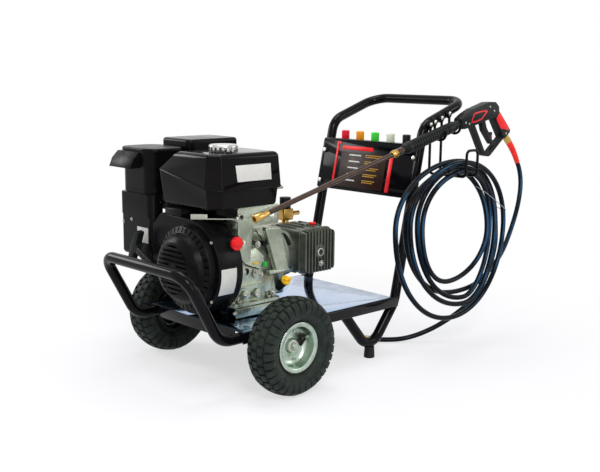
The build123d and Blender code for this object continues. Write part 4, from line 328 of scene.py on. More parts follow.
def deck_sheet(name):
    """Gloss black sheet; its flat top is a pale blue mirror, the blue a painted reflection of pale
    surroundings.
    """
    p = Paint(name, GLOSS_BLACK, 0.22, specular=0.16)
    flat = p.facing_up(0.9, 0.99)
    # The flat top is pale blue: painted reflection
    top = p.mix(p.patches(7.0), *DECK_REFLECTION_BLUES)
    p.color_from(p.mix(flat, GLOSS_BLACK, top))
    p.link(flat, p.bsdf.inputs["Metallic"])
    p.rough_from(20.0, 0.06, 0.14)
    p.bump(p.noise(420.0, 2.0), strength=0.02)
    return p.material


def hose_cover(name):
    """Smooth black hose cover with a broken blue band painted on the side that faces one way: painted
    sheen.
    """
    p = Paint(name, (0.004, 0.006, 0.008), 0.2, specular=0.07)
    base = p.mix(p.patches(22.0), *HOSE_BLACKS)
    patchy = p.patches(7.0, 3.0, from_lo=0.42, from_hi=0.58)
    # Blue band where the surface faces one way, broken into patches: painted sheen
    line = p.times(p.facing(SHEEN_FACING, *SHEEN_WIDTH), patchy)
    line = p.times(line, p.along("Z", *SHEEN_FADE))
    p.color_from(p.mix(line, base, SHEEN_BLUE))
    p.rough_from(35.0, 0.12, 0.26)
    p.bump(p.noise(600.0, 3.0), strength=0.12, distance=0.0003)
    return p.material


MATERIALS = {
    "frame": painted("frame_gloss", (0.003, 0.003, 0.004), 0.12, specular=0.10),
    "deck": deck_sheet("deck_gloss"),
    "engine": painted("engine_black", (0.004, 0.004, 0.004), 0.2, specular=0.08),
    "tank": painted("tank_gloss", (0.004, 0.003, 0.003), 0.08, specular=0.09),
    "cowl": moulded("cowl_black", (0.004, 0.004, 0.0045), 0.28, specular=0.07),
    "alloy": cast("engine_casting", (0.39, 0.43, 0.345), 0.3, stain=0.4),
    "pump": cast("pump_casting", (0.125, 0.135, 0.108), 0.42, metal=0.75, stain=0.5),
    "bell": cast("bell_casting", (0.22, 0.24, 0.20), 0.42, metal=0.85),
    "zinc": galvanised("zinc_plate"),
    "bolt": plated("bolt_zinc", (0.44, 0.45, 0.41), 0.28, tint=(0.38, 0.35, 0.26)),
    "chrome": plated("chrome_bright", (0.55, 0.55, 0.53), 0.10, scratch=0.04),
    "brass": plated("brass_turned", (0.58, 0.36, 0.10), 0.24, tint=(0.36, 0.21, 0.055)),
    "steel": plated("lance_dark", (0.075, 0.052, 0.040), 0.3),
    "tyre": tyre_rubber("tyre_rubber"),
    "rubber": moulded("foot_rubber", (0.010, 0.010, 0.010), 0.7, specular=0.2),
    "plastic": moulded("plastic_black", (0.010, 0.011, 0.011), 0.4, specular=0.10),
    "gun": moulded("gun_plastic", (0.008, 0.010, 0.009), 0.36, grain=900.0, deep=0.25, specular=0.10),
    "nylon": moulded("nylon_plain", (0.70, 0.68, 0.60), 0.5),
    "pulley": moulded("nylon_black", (0.008, 0.006, 0.005), 0.5, specular=0.06),
    "red": moulded("plastic_red", (0.80, 0.012, 0.016), 0.33, deep=0.08, dust=0.0, vary=0.1),
    "yellow": moulded("plastic_yellow", (0.88, 0.50, 0.012), 0.35, deep=0.08, dust=0.0, vary=0.1),
    "sleeve": moulded("sleeve_red", (0.88, 0.020, 0.012), 0.4, deep=0.1, dust=0.0, vary=0.08),
    "hose": hose_cover("hose_cover"),
    "nozzle_red": moulded("guard_red", (0.74, 0.010, 0.03), 0.3, deep=0.06, dust=0.0, vary=0.1),
    "nozzle_orange": moulded("guard_orange", (0.90, 0.30, 0.010), 0.3, deep=0.06, dust=0.0, vary=0.1),
    "nozzle_green": moulded("guard_green", (0.05, 0.66, 0.05), 0.3, deep=0.06, dust=0.0, vary=0.1),
    "nozzle_white": moulded("guard_white", (0.72, 0.78, 0.60), 0.3, deep=0.06, dust=0.0, vary=0.06),
    "nozzle_black": moulded("guard_black", (0.012, 0.012, 0.012), 0.35, deep=0.06, dust=0.0),
    "decal": moulded("decal_dark", (0.022, 0.009, 0.006), 0.35, deep=0.04, specular=0.15, dust=0.0),
    "pale": moulded("decal_pale", (0.62, 0.61, 0.57), 0.4, deep=0.04, dust=0.0, vary=0.06),
    "amber": moulded("decal_amber", (0.42, 0.23, 0.012), 0.4, deep=0.04, dust=0.0, vary=0.1),
    "tie": moulded("tie_grey", (0.26, 0.28, 0.30), 0.3, deep=0.04, dust=0.0),
    "wire": moulded("wire_black", (0.006, 0.006, 0.006), 0.38, specular=0.18),
    "green": moulded("connector_green", (0.03, 0.42, 0.05), 0.35, deep=0.06, dust=0.0),
    "glass": moulded("sight_dark", (0.010, 0.009, 0.007), 0.08, deep=0.0, specular=0.5, dust=0.0),
}

# Which material each CAD node wears
WEARS = {
    "frame": ("handle_frame", "front_guard", "engine_rails", "wire_hangers", "control_panel"),
    "deck": ("deck_tray",),
    "engine": ("valve_cover", "muffler_guard"),
    "tank": ("fuel_tank",),
    "cowl": ("blower_housing", "recoil_cover", "air_cleaner_base", "air_cleaner_cover"),
    "alloy": (
        "crankcase", "crankcase_cover", "cylinder_head", "flywheel", "carburettor", "control_bracket",
    ),
    "pump": ("pump_body", "pump_cover"),
    "bell": ("pump_flange",),
    "zinc": ("near_rim", "far_rim", "axle"),
    "bolt": ("fasteners", "throttle_lever", "crankshaft", "muffler"),
    "chrome": ("fuel_cap",),
    "brass": ("pump_manifold", "pump_inlet", "unloader_valve", "lance_coupler", "hose_fittings"),
    "steel": ("lance_tube",),
    "tyre": ("near_tyre", "far_tyre"),
    "rubber": ("rear_feet",),
    "plastic": ("starter_grip", "choke_lever", "oil_fill_tube", "unloader_knob", "gun_trigger"),
    "gun": ("gun_body", "lance_grip"),
    "nylon": ("hub_bushes",),
    "pulley": ("starter_pulley",),
    "red": ("stop_switch", "trigger_latch"),
    "yellow": ("dipstick",),
    "sleeve": ("hose_sleeve",),
    "hose": ("hose_coil", "hose_gun_run", "hose_tail"),
    "nozzle_red": ("nozzle_red",),
    "nozzle_orange": ("nozzle_orange",),
    "nozzle_green": ("nozzle_green",),
    "nozzle_white": ("nozzle_white",),
    "nozzle_black": ("nozzle_black",),
}

# Width of the soft edge each CAD node gets (mm), where it isn't the usual one
USUAL_EDGE = 0.6
SOFT_EDGE = {
    "handle_frame": 0.0, "front_guard": 0.0, "wire_hangers": 0.0, "hose_coil": 0.0, "hose_gun_run": 0.0,
    "hose_tail": 0.0, "gun_body": 3.0, "gun_trigger": 1.5, "crankcase": 1.5, "crankcase_cover": 1.5,
    "pump_body": 1.2, "pump_flange": 1.5, "fuel_tank": 1.0, "air_cleaner_base": 1.5,
    "air_cleaner_cover": 1.5, "muffler_guard": 0.0, "recoil_cover": 0.5, "lance_tube": 0.0,
    "lance_grip": 0.4, "pump_cover": 0.5, "flywheel": 0.0, "control_bracket": 0.8,
}
EDGE_SEGMENTS = 2
WELD_REACH = 0.00001  # m
FLAT_ANGLE = math.radians(0.5)
SHARP_ANGLE = math.radians(38)


def soften(piece, width):
    """Rounds the sharp edges of a piece by a width (mm)."""
    edge = piece.modifiers.new("edge", "BEVEL")
    edge.width = width / 1000
    edge.segments = EDGE_SEGMENTS
    edge.limit_method = "ANGLE"
    edge.angle_limit = SHARP_ANGLE


def smooth_by_angle(piece):
    """Smooth shading, split at sharp edges."""
    for face in piece.data.polygons:
        face.use_smooth = True
    split = piece.modifiers.new("split", "EDGE_SPLIT")
    split.split_angle = SHARP_ANGLE
    split.use_edge_sharp = False


def dress(name, material):
    """Gives a CAD node its material, clean flats and softened edges."""
    node = NODES[name]
    node.data.materials.clear()
    node.data.materials.append(material)
    weld = node.modifiers.new("weld", "WELD")
    weld.merge_threshold = WELD_REACH
    width = SOFT_EDGE.get(name, USUAL_EDGE)
    if width:
        flats = node.modifiers.new("flats", "DECIMATE")
        flats.decimate_type = "DISSOLVE"
        flats.angle_limit = FLAT_ANGLE
        soften(node, width)
    smooth_by_angle(node)


for key, names in WEARS.items():
    for name in names:
        dress(name, MATERIALS[key])

# Hose: one line from the gun through five loose turns on the cradle to the floor
HOSE_D = 0.015  # m
GUN_Y = -228.3  # middle of the gun, across the cart
GUN_RUN = [
    (722.3, GUN_Y, 610.2), (752, GUN_Y, 579), (780, -228.5, 539), (795, -229, 513), (802.5, -231, 476),
    (796, -235, 440), (779, -240, 396), (752, -246, 352), (717, -252, 303), (680, -257, 259),
    (634, -261, 224), (582, -265, 197), (528, -269, 176), (470, -271, 168),
]
TAIL_RUN = [
    (609, -278, 300), (590, -281, 250), (560, -284, 200), (524, -282, 152), (485, -266, 110),
    (428, -237, 68), (378, -200, 34), (328, -163, 13), (282, -128, 8), (240, -92, 11),
]
# Turns as (left x, y), (bottom x, y, z), (top y, z), (right x, y). The gun run leads into the first
# bottom, and the tail leaves from the last right side.
TURNS = [
    ((166, -276), (400, -273, 168), (-284, 547), (515, -310)),
    ((198, -312), (344, -300, 214), (-318, 544), (545, -297)),
    ((206, -286), (437, -287, 148), (-300, 557), (566, -302)),
    ((157, -301), (420, -303, 134), (-313, 571), (618, -298)),
    ((80, -313), (358, -312, 103), (-291, 574), (602, -279)),
]
TOP_X = 372.0
LEFT_Z = 400.0
RIGHT_Z = 356.0
QUARTER_STEPS = 5


def quarter(start, end, upright_first):
    """Points of a quarter turn of hose, which starts upright or level, without its last point."""
    made = []
    for step in range(QUARTER_STEPS):
        share = step / QUARTER_STEPS
        sine, cosine = math.sin(math.pi / 2 * share), math.cos(math.pi / 2 * share)
        if upright_first:
            x = end[0] + (start[0] - end[0]) * cosine
            z = start[2] + (end[2] - start[2]) * sine
        else:
            x = start[0] + (end[0] - start[0]) * sine
            z = end[2] + (start[2] - end[2]) * cosine
        y = start[1] + (end[1] - start[1]) * (1 - math.cos(math.pi * share)) / 2
        made.append((x, y, z))
    return made


route = list(GUN_RUN)
for index, (left, bottom, top, right) in enumerate(TURNS):
    left_side = (*left, LEFT_Z)
    high = (TOP_X, *top)
    right_side = (*right, RIGHT_Z)
    route += quarter(bottom, left_side, False) + quarter(left_side, high, True)
    route += quarter(high, right_side, False)
    if index + 1 < len(TURNS):
        next_bottom = TURNS[index + 1][1]
        route += quarter(right_side, next_bottom, True)
    else:
        route.append(right_side)
route += TAIL_RUN

TUBE_SIDES = 4  # extra corners on each half of a tube's section
BEAD_SIDES = 3  # the same for a closed bead
TUBE_STEPS = 6  # steps between two control points


def bead(name, kind, points, diameter, sides, material):
    """A round section along one spline of a kind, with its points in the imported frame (m)."""
    curve = bpy.data.curves.new(name, "CURVE")
    curve.dimensions = "3D"
    spline = curve.splines.new(kind)
    spline.points.add(len(points) - 1)
    for point, place in zip(spline.points, points):
        point.co = (*place, 1.0)
    curve.bevel_depth = diameter / 2
    curve.bevel_resolution = sides
    curve.materials.append(MATERIALS[material])
    return put(name, curve)


def tube(name, points, diameter, material):
    """A round tube along one NURBS spline whose control points are given in cart axes."""
    made = bead(name, "NURBS", [at(*place) for place in points], diameter, TUBE_SIDES, material)
    spline = made.data.splines[0]
    spline.order_u = 3
    spline.use_endpoint_u = True
    made.data.resolution_u = TUBE_STEPS
    made.data.use_fill_caps = True
    return made


hose = tube("hose", route, HOSE_D, "hose")
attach(hose, "cart")
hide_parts("hose_coil", "hose_gun_run", "hose_tail")


def strands(middle, across, reach):
    """Where the hose's own line crosses a plane near a point, and how squarely it does."""
    line = hose.data.copy()
    line.bevel_depth = 0
    bare = bpy.data.objects.new("hose_line", line)
    mesh = bpy.data.meshes.new_from_object(bare)
    points = [vert.co.copy() for vert in mesh.vertices]
    bpy.data.objects.remove(bare)
    bpy.data.meshes.remove(mesh)
    bpy.data.curves.remove(line)
    found = []
    for first, second in zip(points, points[1:]):
        before = (first - middle).dot(across)
        after = (second - middle).dot(across)
        if before * after < 0 and (first - middle).length < reach:
            square = abs(after - before) / (second - first).length
            found.append((first.lerp(second, before / (before - after)), square))
    return found


def around(spots):
    """The spots on the outside of a flat cloud, in order round it."""
    spots = sorted(spots)
    rim = []
    for row in (spots, spots[::-1]):
        run = []
        for spot in row:
            while len(run) > 1 and (
                (run[-1][0] - run[-2][0]) * (spot[1] - run[-2][1])
                <= (run[-1][1] - run[-2][1]) * (spot[0] - run[-2][0])
            ):
                run.pop()
            run.append(spot)
        rim += run[:-1]
    return rim


def ring(name, points, thick, material):
    """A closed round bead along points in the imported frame."""
    made = bead(name, "POLY", points, thick, BEAD_SIDES, material)
    made.data.splines[0].use_cyclic_u = True
    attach(made, "cart")
    return made


# A tie drawn tight round the turns at the right of the coil
TIE_D = 0.0022  # m
TIE_MIDDLE = at(521, -306, 457)
TIE_ACROSS = Vector((0.48, 0, 0.87)).normalized()
TIE_ALONG = Vector((0.87, 0, -0.48)).normalized()
TIE_REACH = 0.11  # m, how far from its middle the tie looks for turns
TIE_STEPS = 20  # points round each turn
wrap = (HOSE_D + TIE_D) / 2
spots = []
for place, square in strands(TIE_MIDDLE, TIE_ACROSS, TIE_REACH):
    for step in range(TIE_STEPS):
        turn = 2 * math.pi * step / TIE_STEPS
        out = (place - TIE_MIDDLE).dot(TIE_ALONG) + wrap / square * math.cos(turn)
        spots.append((out, place.y + wrap * math.sin(turn)))
tie_points = []
for out, y in around(spots):
    tie_points.append(TIE_MIDDLE + TIE_ALONG * out + Vector((0, y - TIE_MIDDLE.y, 0)))
hose_tie = ring("hose_tie", tie_points, TIE_D, "tie")

# Small pieces that the photograph shows on the solids
GUN_AT = Vector((-354.0, GUN_Y, 465.0))
GUN_SLOPE = math.radians(14.4)
GUN_ALONG = Vector((math.cos(GUN_SLOPE), 0, math.sin(GUN_SLOPE)))
GUN_ABOVE = Vector((-math.sin(GUN_SLOPE), 0, math.cos(GUN_SLOPE)))

# The sloped front of the control panel: its foot (x, z), and the ways up it and out of it (x, z)
PANEL_FOOT = (281.2, 464.0)
PANEL_UP = (0.208, 0.978)
PANEL_OUT = (-0.98, 0.21)


def on_gun(along, above, y):
    """A point given along and above the lance line, at a depth of the cart."""
    place = GUN_AT + GUN_ALONG * along + GUN_ABOVE * above
    return (place.x, y, place.z)


def on_panel(y, high):
    """A point on the sloped front of the control panel, some way up it."""
    return (PANEL_FOOT[0] + PANEL_UP[0] * high, y, PANEL_FOOT[1] + PANEL_UP[1] * high)


# Sizes of a bolt, in radii of its head
WASHER_WIDE = 1.4
HEAD_TOP = 0.84
HEAD_HIGH = 0.9


class Shape:
    """A mesh piece gathered from turned and extruded forms, all given in cart axes (mm)."""

    def __init__(self):
        self.mesh = bmesh.new()

    def turned(self, base, axis, profile, segments=24):
        """Turns (distance along, radius) pairs round an axis; six segments make a hexagon."""
        axis = Vector(axis).normalized()
        side = axis.orthogonal().normalized()
        other = axis.cross(side)
        circles = []
        for along, radius in profile:
            middle = Vector(base) + axis * along
            circle = []
            for step in range(segments):
                turn = 2 * math.pi * step / segments
                out = side * (radius * math.cos(turn)) + other * (radius * math.sin(turn))
                circle.append(self.mesh.verts.new(at(*(middle + out))))
            circles.append(circle)
        for first, second in zip(circles, circles[1:]):
            for step in range(segments):
                after = (step + 1) % segments
                self.mesh.faces.new((first[step], first[after], second[after], second[step]))
        self.mesh.faces.new(circles[0])
        self.mesh.faces.new(circles[-1])
        return self

    def bolt(self, base, axis, radius, high):
        """A hexagon head on a round washer."""
        washer = radius * WASHER_WIDE
        self.turned(base, axis, [(-1.0, washer), (1.3, washer)])
        profile = [(0.5, radius), (high - 1.0, radius), (high, radius * HEAD_TOP)]
        return self.turned(base, axis, profile, segments=6)

    def slab(self, points, push):
        """A flat outline (cart points in order) pushed along a vector."""
        low = [self.mesh.verts.new(at(*point)) for point in points]
        high = [self.mesh.verts.new(at(*(Vector(point) + Vector(push)))) for point in points]
        self.mesh.faces.new(low)
        self.mesh.faces.new(high)
        for step in range(len(points)):
            after = (step + 1) % len(points)
            self.mesh.faces.new((low[step], low[after], high[after], high[step]))
        return self

    def piece(self, name, material, body, slot, soft):
        """Makes the object, softens its edges (mm) and lets it ride on a body."""
        bmesh.ops.recalc_face_normals(self.mesh, faces=self.mesh.faces)
        data = bpy.data.meshes.new(name)
        self.mesh.to_mesh(data)
        self.mesh.free()
        data.materials.append(MATERIALS[material])
        made = put(name, data)
        soften(made, soft)
        smooth_by_angle(made)
        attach(made, body)


def panel_plate(shape, y_from, y_to, low, high, thick):
    """A thin plate on the panel front, between two depths and two heights."""
    corners = [on_panel(y_from, low), on_panel(y_to, low), on_panel(y_to, high), on_panel(y_from, high)]
    return shape.slab(corners, (PANEL_OUT[0] * thick, 0, PANEL_OUT[1] * thick))


def wire(name, points, diameter, body="cart"):
    """A lead (diameter in mm) that lies on the solids all along its way."""
    made = tube(name, points, diameter / 1000, "wire")
    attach(made, body)


# Panel front: a dark plate with plain coloured bars, no lettering
PLATE_THICK = 0.6
STRIPE_THICK = 0.8
MARK_THICK = 1.0
DECAL_EDGE = 0.2
STRIPES = [  # depth from and to, height from and to
    (128, 136, 5, 146),
    (118, 128, 138, 146),
    (-20, 112, 122, 134),
    (-106, -92, 2, 112),
]
ROWS = (106, 86, 66, 46, 26)  # heights of the bars
BAR_START, BAR_STEP, BAR_END, BAR_HALF = 26, 3, 76, 2.0
MARK_END = 8
MARK_LINES = [(-62, 4, 1.6, 4.2), (-50, 3, -4.2, -1.6)]  # start, step, foot and top from the row
plate = panel_plate(Shape(), -80, 112, 4, 115, PLATE_THICK)
plate.piece("panel_plate", "decal", "cart", "frame_paint", soft=DECAL_EDGE)
stripes = Shape()
for stripe in STRIPES:
    panel_plate(stripes, *stripe, STRIPE_THICK)
stripes.piece("panel_stripes", "red", "cart", "red_plastic", soft=DECAL_EDGE)
bars = Shape()
marks = Shape()
for row, high in enumerate(ROWS):
    start = BAR_START + BAR_STEP * row
    panel_plate(bars, start, BAR_END, high - BAR_HALF, high + BAR_HALF, MARK_THICK)
    for start, step, foot, top in MARK_LINES:
        panel_plate(marks, start + step * row, MARK_END, high + foot, high + top, MARK_THICK)
bars.piece("panel_bars", "pale", "cart", "nylon", soft=DECAL_EDGE)
marks.piece("panel_marks", "amber", "cart", "yellow_plastic", soft=DECAL_EDGE)

# Spray gun: red insert at the back of the grip, a plain red-rimmed lozenge, screws
INSERT_Y = -244.2
INSERT_WIDE = 31.8
GUN_NEAR_Y = -242.6
GUN_FAR_Y = -214.0
RIM_HIGH = 1.1
FIELD_RISE = 1.5  # height of the field, in heights of its rim
SCREW_Y = -242.8
SCREW = [(0, 3.4), (1.2, 3.4), (1.6, 2.8), (1.6, 1.5), (0.6, 1.4)]
INSERT = [  # outlines are given along and above the lance line
    (1009, -32), (1030.6, -15.4), (1069.6, -76), (1064, -86), (1046, -76), (1026, -69), (1016, -48),
]
RIM = [(886, 0), (901, 17.5), (932, 15), (966, 9.5), (969, 3), (936, -12.5), (908, -12.5), (881, -8)]
FIELD = [(891, 0), (904, 13.5), (932, 11), (960, 6), (934, -8.5), (908, -8.5), (888, -5)]
insert = [on_gun(along, above, INSERT_Y) for along, above in INSERT]
Shape().slab(insert, (0, INSERT_WIDE, 0)).piece("grip_insert", "red", "cart", "red_plastic", soft=0.8)
for side, y, push in (("near", GUN_NEAR_Y, -RIM_HIGH), ("far", GUN_FAR_Y, RIM_HIGH)):
    outer = Shape().slab([on_gun(along, above, y) for along, above in RIM], (0, push, 0))
    outer.piece("gun_rim_" + side, "red", "cart", "red_plastic", soft=0.3)
    inner = Shape().slab([on_gun(along, above, y) for along, above in FIELD], (0, push * FIELD_RISE, 0))
    inner.piece("gun_field_" + side, "gun", "cart", "black_plastic", soft=0.3)
screws = Shape()
for along, above in ((856, 0), (985, 14), (1003, -4), (1052, -92), (872, -8)):
    screws.turned(on_gun(along, above, SCREW_Y), NEAR, SCREW, segments=20)
screws.piece("gun_screws", "bolt", "cart", "zinc_steel", soft=0.2)
nut = Shape()
hexagon = [(0, 10.5), (3, 12.6), (14, 12.6), (17, 10.8)]
collar = [(0, 8.8), (1, 9.6), (6, 9.6), (7, 9.0)]
nut.turned(on_gun(533, 0, GUN_Y), GUN_ALONG, hexagon, segments=6)
nut.turned(on_gun(527, 0, GUN_Y), GUN_ALONG, collar)
nut.piece("lance_nut", "brass", "cart", "brass", soft=0.5)

# Tank: the rolled seam round its middle and a tab at the rear
SEAM_D = 0.0048  # m
SEAM = [
    (-165, -110, 521.6), (-353, -110, 521.6), (-362, -107, 522.2), (-386, -82, 526.6),
    (-390, -72, 528.4), (-390, 120, 562.6), (-385, 131, 564.6), (-374, 136, 565.4), (-167, 136, 565.4),
    (-156, 131, 564.6), (-151, 120, 562.6), (-150.4, -95, 524.4), (-155, -106, 522.4),
]
ring("tank_seam", [at(*place) for place in SEAM], SEAM_D, "tank")
tab = [(-158, -96, 512), (-138, -96, 512), (-136, -96, 515), (-138, -96, 519), (-158, -96, 519)]
Shape().slab(tab, (0, 12, 0)).piece("tank_tab", "bolt", "cart", "zinc_steel", soft=0.5)

# Engine shroud: folded black sheets that close the gap under the tank, as (outline, push)
SHEETS = [
    (
        [
            (-372, 54, 436), (-372, 54, 456), (-362, 54, 465), (-304, 54, 465), (-300, 54, 460),
            (-300, 54, 430),
        ],
        (0, 74, 0),
    ),
    (
        [
            (-299.6, -54, 428), (-299.6, 54, 428), (-299.6, 54, 466), (-299.6, -40, 466),
            (-299.6, -54, 456),
        ],
        (1.6, 0, 0),
    ),
    (
        [
            (-299, 54.4, 414), (-170, 54.4, 410), (-170, 54.4, 456), (-180, 54.4, 466),
            (-299, 54.4, 466),
        ],
        (0, 1.6, 0),
    ),
]
sheets = Shape()
for outline, push in SHEETS:
    sheets.slab(outline, push)
sheets.piece("engine_shroud", "engine", "cart", "engine_paint", soft=1.0)

# Engine: bosses, bolts, plugs
CRANK_Y, CRANK_Z = 12, 308
RECOIL_X = -375
RECOIL_BOLT_RING = 122
bosses = Shape()
bosses.turned((-208.6, -50, 361.7), NEAR, [(0, 11), (23, 10), (25, 9)])
bosses.turned((-271, -73, 443.6), NEAR, [(0, 10), (5, 9.4), (6, 8.4)])
bosses.turned((-150.6, -62, 218.3), NEAR, [(0, 11), (8, 10.2), (9, 9)])
foot = [(-304, -91, 174), (-136, -91, 174), (-130, -91, 181), (-130, -91, 198), (-304, -91, 198)]
bosses.slab(foot, (0, -5, 0))
bosses.piece("engine_bosses", "alloy", "cart", "cast_aluminium", soft=0.6)
heads = Shape()
for place, radius in (
    ((-208.6, -75, 361.7), 6.0), ((-218.9, -77, 287.9), 4.6), ((-197.9, -77, 277.3), 4.6),
    ((-214, -77, 220.6), 6.0), ((-256, -77, 226), 6.0), ((-156, -75.3, 425.6), 5.0),
    ((-150.6, -71, 218.3), 7.0),
):
    heads.bolt(place, NEAR, radius, radius * HEAD_HIGH)
for turn in (40, 140, 220, 320):
    y = CRANK_Y + RECOIL_BOLT_RING * math.cos(math.radians(turn))
    z = CRANK_Z + RECOIL_BOLT_RING * math.sin(math.radians(turn))
    heads.bolt((RECOIL_X, y, z), FRONT, radius=3.8, high=4.0)
heads.bolt((-304, -94, 188), FRONT, radius=4.6, high=7.0)
for y, z in ((329, 394), (287, 405)):
    heads.bolt((-376, y, z), FRONT, radius=3.6, high=4.0)
heads.piece("engine_bolts", "bolt", "cart", "zinc_steel", soft=0.3)
plugs = Shape()
plugs.turned((-184.5, -52, 361.3), NEAR, [(0, 7), (22, 7), (24, 5.6)])
plugs.turned((-246.8, -69, 290.7), NEAR, [(0, 9), (3, 9), (4.4, 7.6), (4.4, 4.0), (2.4, 3.6)])
plugs.turned((-271, -78, 443.6), NEAR, [(0, 6.2), (1.8, 6.2), (2.4, 5.4)])
plugs.turned((-312, -94, 382), NEAR, [(0, 21), (8, 21), (9.6, 19)])
plugs.piece("engine_plugs", "plastic", "cart", "black_plastic", soft=0.3)

# Engine wiring: leads laid on the castings, with a push connector and a clip
STOP_LEAD = [
    (-306, -103, 362), (-297, -101, 346), (-280, -92, 328), (-260, -80, 314), (-236, -79, 304),
    (-209, -79.5, 294),
]
SENSOR_LEAD = [
    (-222, -78.5, 404), (-206, -78.5, 386), (-192, -78.5, 366), (-182, -77, 344), (-176, -76, 322),
    (-178, -74, 306),
]
wire("stop_lead", STOP_LEAD, diameter=3.2)
wire("sensor_lead", SENSOR_LEAD, diameter=3.0)
plug = [(-188, -68, 296), (-176, -68, 296), (-176, -68, 311), (-188, -68, 311)]
Shape().slab(plug, (0, -8, 0)).piece("lead_connector", "green", "cart", "black_plastic", soft=0.6)
clip = [(-223, -68, 307), (-207, -68, 307), (-207, -68, 313), (-223, -68, 313)]
Shape().slab(clip, (0, -6, 0)).piece("lead_clip", "yellow", "cart", "yellow_plastic", soft=0.5)

# Bare plates where the photograph has labels: round the blower, on the tank, on the air cleaner
ARC_X = -369
ARC_WIDE = 51
ARC_OUTER, ARC_INNER = 129.0, 127.4
arc = []
for radius, turns in ((ARC_OUTER, range(5, -29, -3)), (ARC_INNER, range(-28, 6, 3))):
    for turn in turns:
        angle = math.radians(turn)
        arc.append((ARC_X, CRANK_Y - radius * math.cos(angle), CRANK_Z + radius * math.sin(angle)))
tank_plate = [(-312, -104.2, 586), (-191, -104.2, 586), (-191, -108.1, 543), (-308, -108.1, 543)]
cleaner_plate = [(-375.8, 206, 344), (-375.8, 260, 344), (-375.8, 260, 388), (-375.8, 206, 388)]
plates = Shape().slab(arc, (ARC_WIDE, 0, 0))
plates.slab(tank_plate, (0, -0.7, 0))
plates.slab(cleaner_plate, (-0.9, 0, 0))
plates.piece("bare_plates", "pale", "cart", "nylon", soft=0.2)

# Pump: red breather cap, oil sight glass, drain plug
SIGHT_AT = (18, -85, 314)
BREATHER = [(0, 6), (4, 6), (4.4, 10.5), (8, 10.5), (9.4, 9.0), (10, 4)]
BEZEL = [(0, 13), (4, 12.4), (5, 11), (5, 8.2), (2, 8.0)]
GLASS = [(0, 8.3), (3.4, 8.3), (3.8, 6.0), (4.0, 2.0)]
cap = Shape().turned((42, -27, 382), UP, BREATHER)
cap.piece("pump_breather", "red", "cart", "red_plastic", soft=0.5)
bezel = Shape().turned(SIGHT_AT, NEAR, BEZEL, segments=32)
bezel.piece("sight_ring", "bolt", "cart", "zinc_steel", soft=0.3)
glass = Shape().turned(SIGHT_AT, NEAR, GLASS, segments=32)
glass.piece("sight_glass", "glass", "cart", "black_plastic", soft=0.1)
drain = Shape().bolt((20, -88, 281), NEAR, radius=6.5, high=6.0)
drain.piece("pump_plug", "bolt", "cart", "zinc_steel", soft=0.3)

# Wheels: rubber valve stems with metal tips
STEM_SUNK = 4  # how far the stem starts inside the rim
TIP_START = 27  # where the metal tip starts along the stem
STEM = [(0, 6.5), (8, 5.6), (12, 4.2), (30, 3.8), (32, 3.2)]
TIP = [(0, 3.2), (9, 3.2), (10, 2.4)]
for side, way in (("near", -1), ("far", 1)):
    foot = Vector((-222, 262 * way, 128))
    tip = Vector((-221, 290 * way, 155))
    along = (tip - foot).normalized()
    stem = Shape().turned(foot - along * STEM_SUNK, along, STEM, segments=20)
    stem.piece("valve_stem_" + side, "rubber", "wheel_" + side, "rubber", soft=0.3)
    end = Shape().turned(foot + along * TIP_START, along, TIP, segments=16)
    end.piece("valve_tip_" + side, "bolt", "wheel_" + side, "zinc_steel", soft=0.2)

# Stage: pale floor, soft lamps, white surroundings
FLOOR_SIZE = 60  # m
FLOOR_COLOR = (0.88, 0.88, 0.92, 1)
FLOOR_FADE = (0.5, 1.3)  # m from the middle, where the floor starts to turn white and where it is
FLOOR_WHITE = (0.62, 1.0)  # how white it is at those two
WORLD_COLOR = (0.95, 0.97, 1.0, 1)
WORLD_STRENGTH = 0.45
WHITE = (1, 1, 1, 1)


def math_node(tree, operation, first, second):
    """The result of a math node on two sockets."""
    made = tree.nodes.new("ShaderNodeMath")
    made.operation = operation
    tree.links.new(first, made.inputs[0])
    tree.links.new(second, made.inputs[1])
    return made.outputs[0]


def seen_rays(tree):
    """1 for the rays that show the background, also in metal and glass, 0 for those that light."""
    path = tree.nodes.new("ShaderNodeLightPath")
    seen = math_node(tree, "MAXIMUM", path.outputs["Is Camera Ray"], path.outputs["Is Glossy Ray"])
    return math_node(tree, "MAXIMUM", seen, path.outputs["Is Transmission Ray"])


def blend_to_white(tree, share, plain, white, output):
    """Shows one shader blended into a white one by a share."""
    white.inputs["Color"].default_value = WHITE
    white.inputs["Strength"].default_value = 1.0
    blend = tree.nodes.new("ShaderNodeMixShader")
    tree.links.new(share, blend.inputs[0])
    tree.links.new(plain.outputs[0], blend.inputs[1])
    tree.links.new(white.outputs[0], blend.inputs[2])
    tree.links.new(blend.outputs[0], tree.nodes.new(output).inputs["Surface"])


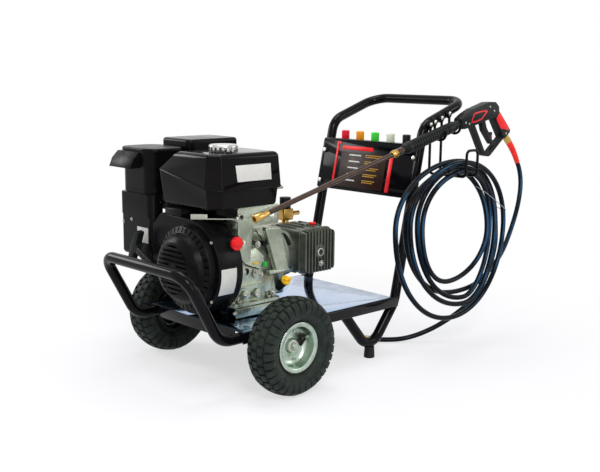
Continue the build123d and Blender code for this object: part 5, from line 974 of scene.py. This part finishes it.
bpy.ops.mesh.primitive_plane_add(size=FLOOR_SIZE)
floor = bpy.context.object
floor.name = "floor"
floor_material = bpy.data.materials.new("floor_white")
floor_material.use_nodes = True
tree = floor_material.node_tree
tree.nodes.clear()
ground = tree.nodes.new("ShaderNodeBsdfDiffuse")
ground.inputs["Color"].default_value = FLOOR_COLOR
place = tree.nodes.new("ShaderNodeTexCoord")
reach = tree.nodes.new("ShaderNodeVectorMath")
reach.operation = "LENGTH"
tree.links.new(place.outputs["Object"], reach.inputs[0])
whiten = tree.nodes.new("ShaderNodeMapRange")
whiten.interpolation_type = "SMOOTHSTEP"
for key, number in zip(RANGE_KEYS, FLOOR_FADE + FLOOR_WHITE):
    whiten.inputs[key].default_value = number
tree.links.new(reach.outputs["Value"], whiten.inputs["Value"])
share = math_node(tree, "MULTIPLY", seen_rays(tree), whiten.outputs["Result"])
white = tree.nodes.new("ShaderNodeEmission")
blend_to_white(tree, share, ground, white, "ShaderNodeOutputMaterial")
floor.data.materials.append(floor_material)

world = bpy.data.worlds.new("studio")
bpy.context.scene.world = world
world.use_nodes = True
tree = world.node_tree
tree.nodes.clear()
plain = tree.nodes.new("ShaderNodeBackground")
plain.inputs["Color"].default_value = WORLD_COLOR
plain.inputs["Strength"].default_value = WORLD_STRENGTH
white = tree.nodes.new("ShaderNodeBackground")
blend_to_white(tree, seen_rays(tree), plain, white, "ShaderNodeOutputWorld")


def lamp(name, place, aim, size, power):
    """A square soft lamp, placed and aimed in cart axes."""
    data = bpy.data.lights.new(name, "AREA")
    data.size = size
    data.energy = power
    made = put(name, data)
    made.location = at(*place)
    made.rotation_euler = (at(*aim) - at(*place)).to_track_quat("-Z", "Y").to_euler()
    return made


lamp("key", (-1500, -2300, 2300), (0, 0, 300), size=0.9, power=40)
lamp("fill", (2200, -2200, 1500), (100, 0, 300), size=1.2, power=16)
lamp("top", (0, 200, 2900), (0, 0, 300), size=1.4, power=34)
lamp("rim", (-1400, 2400, 1600), (0, 0, 350), size=1.0, power=26)
strip = lamp("strip", (-1030, -2460, 760), (-370, -90, 560), size=0.12, power=8)
strip.data.shape = "RECTANGLE"
strip.data.size_y = 1.3
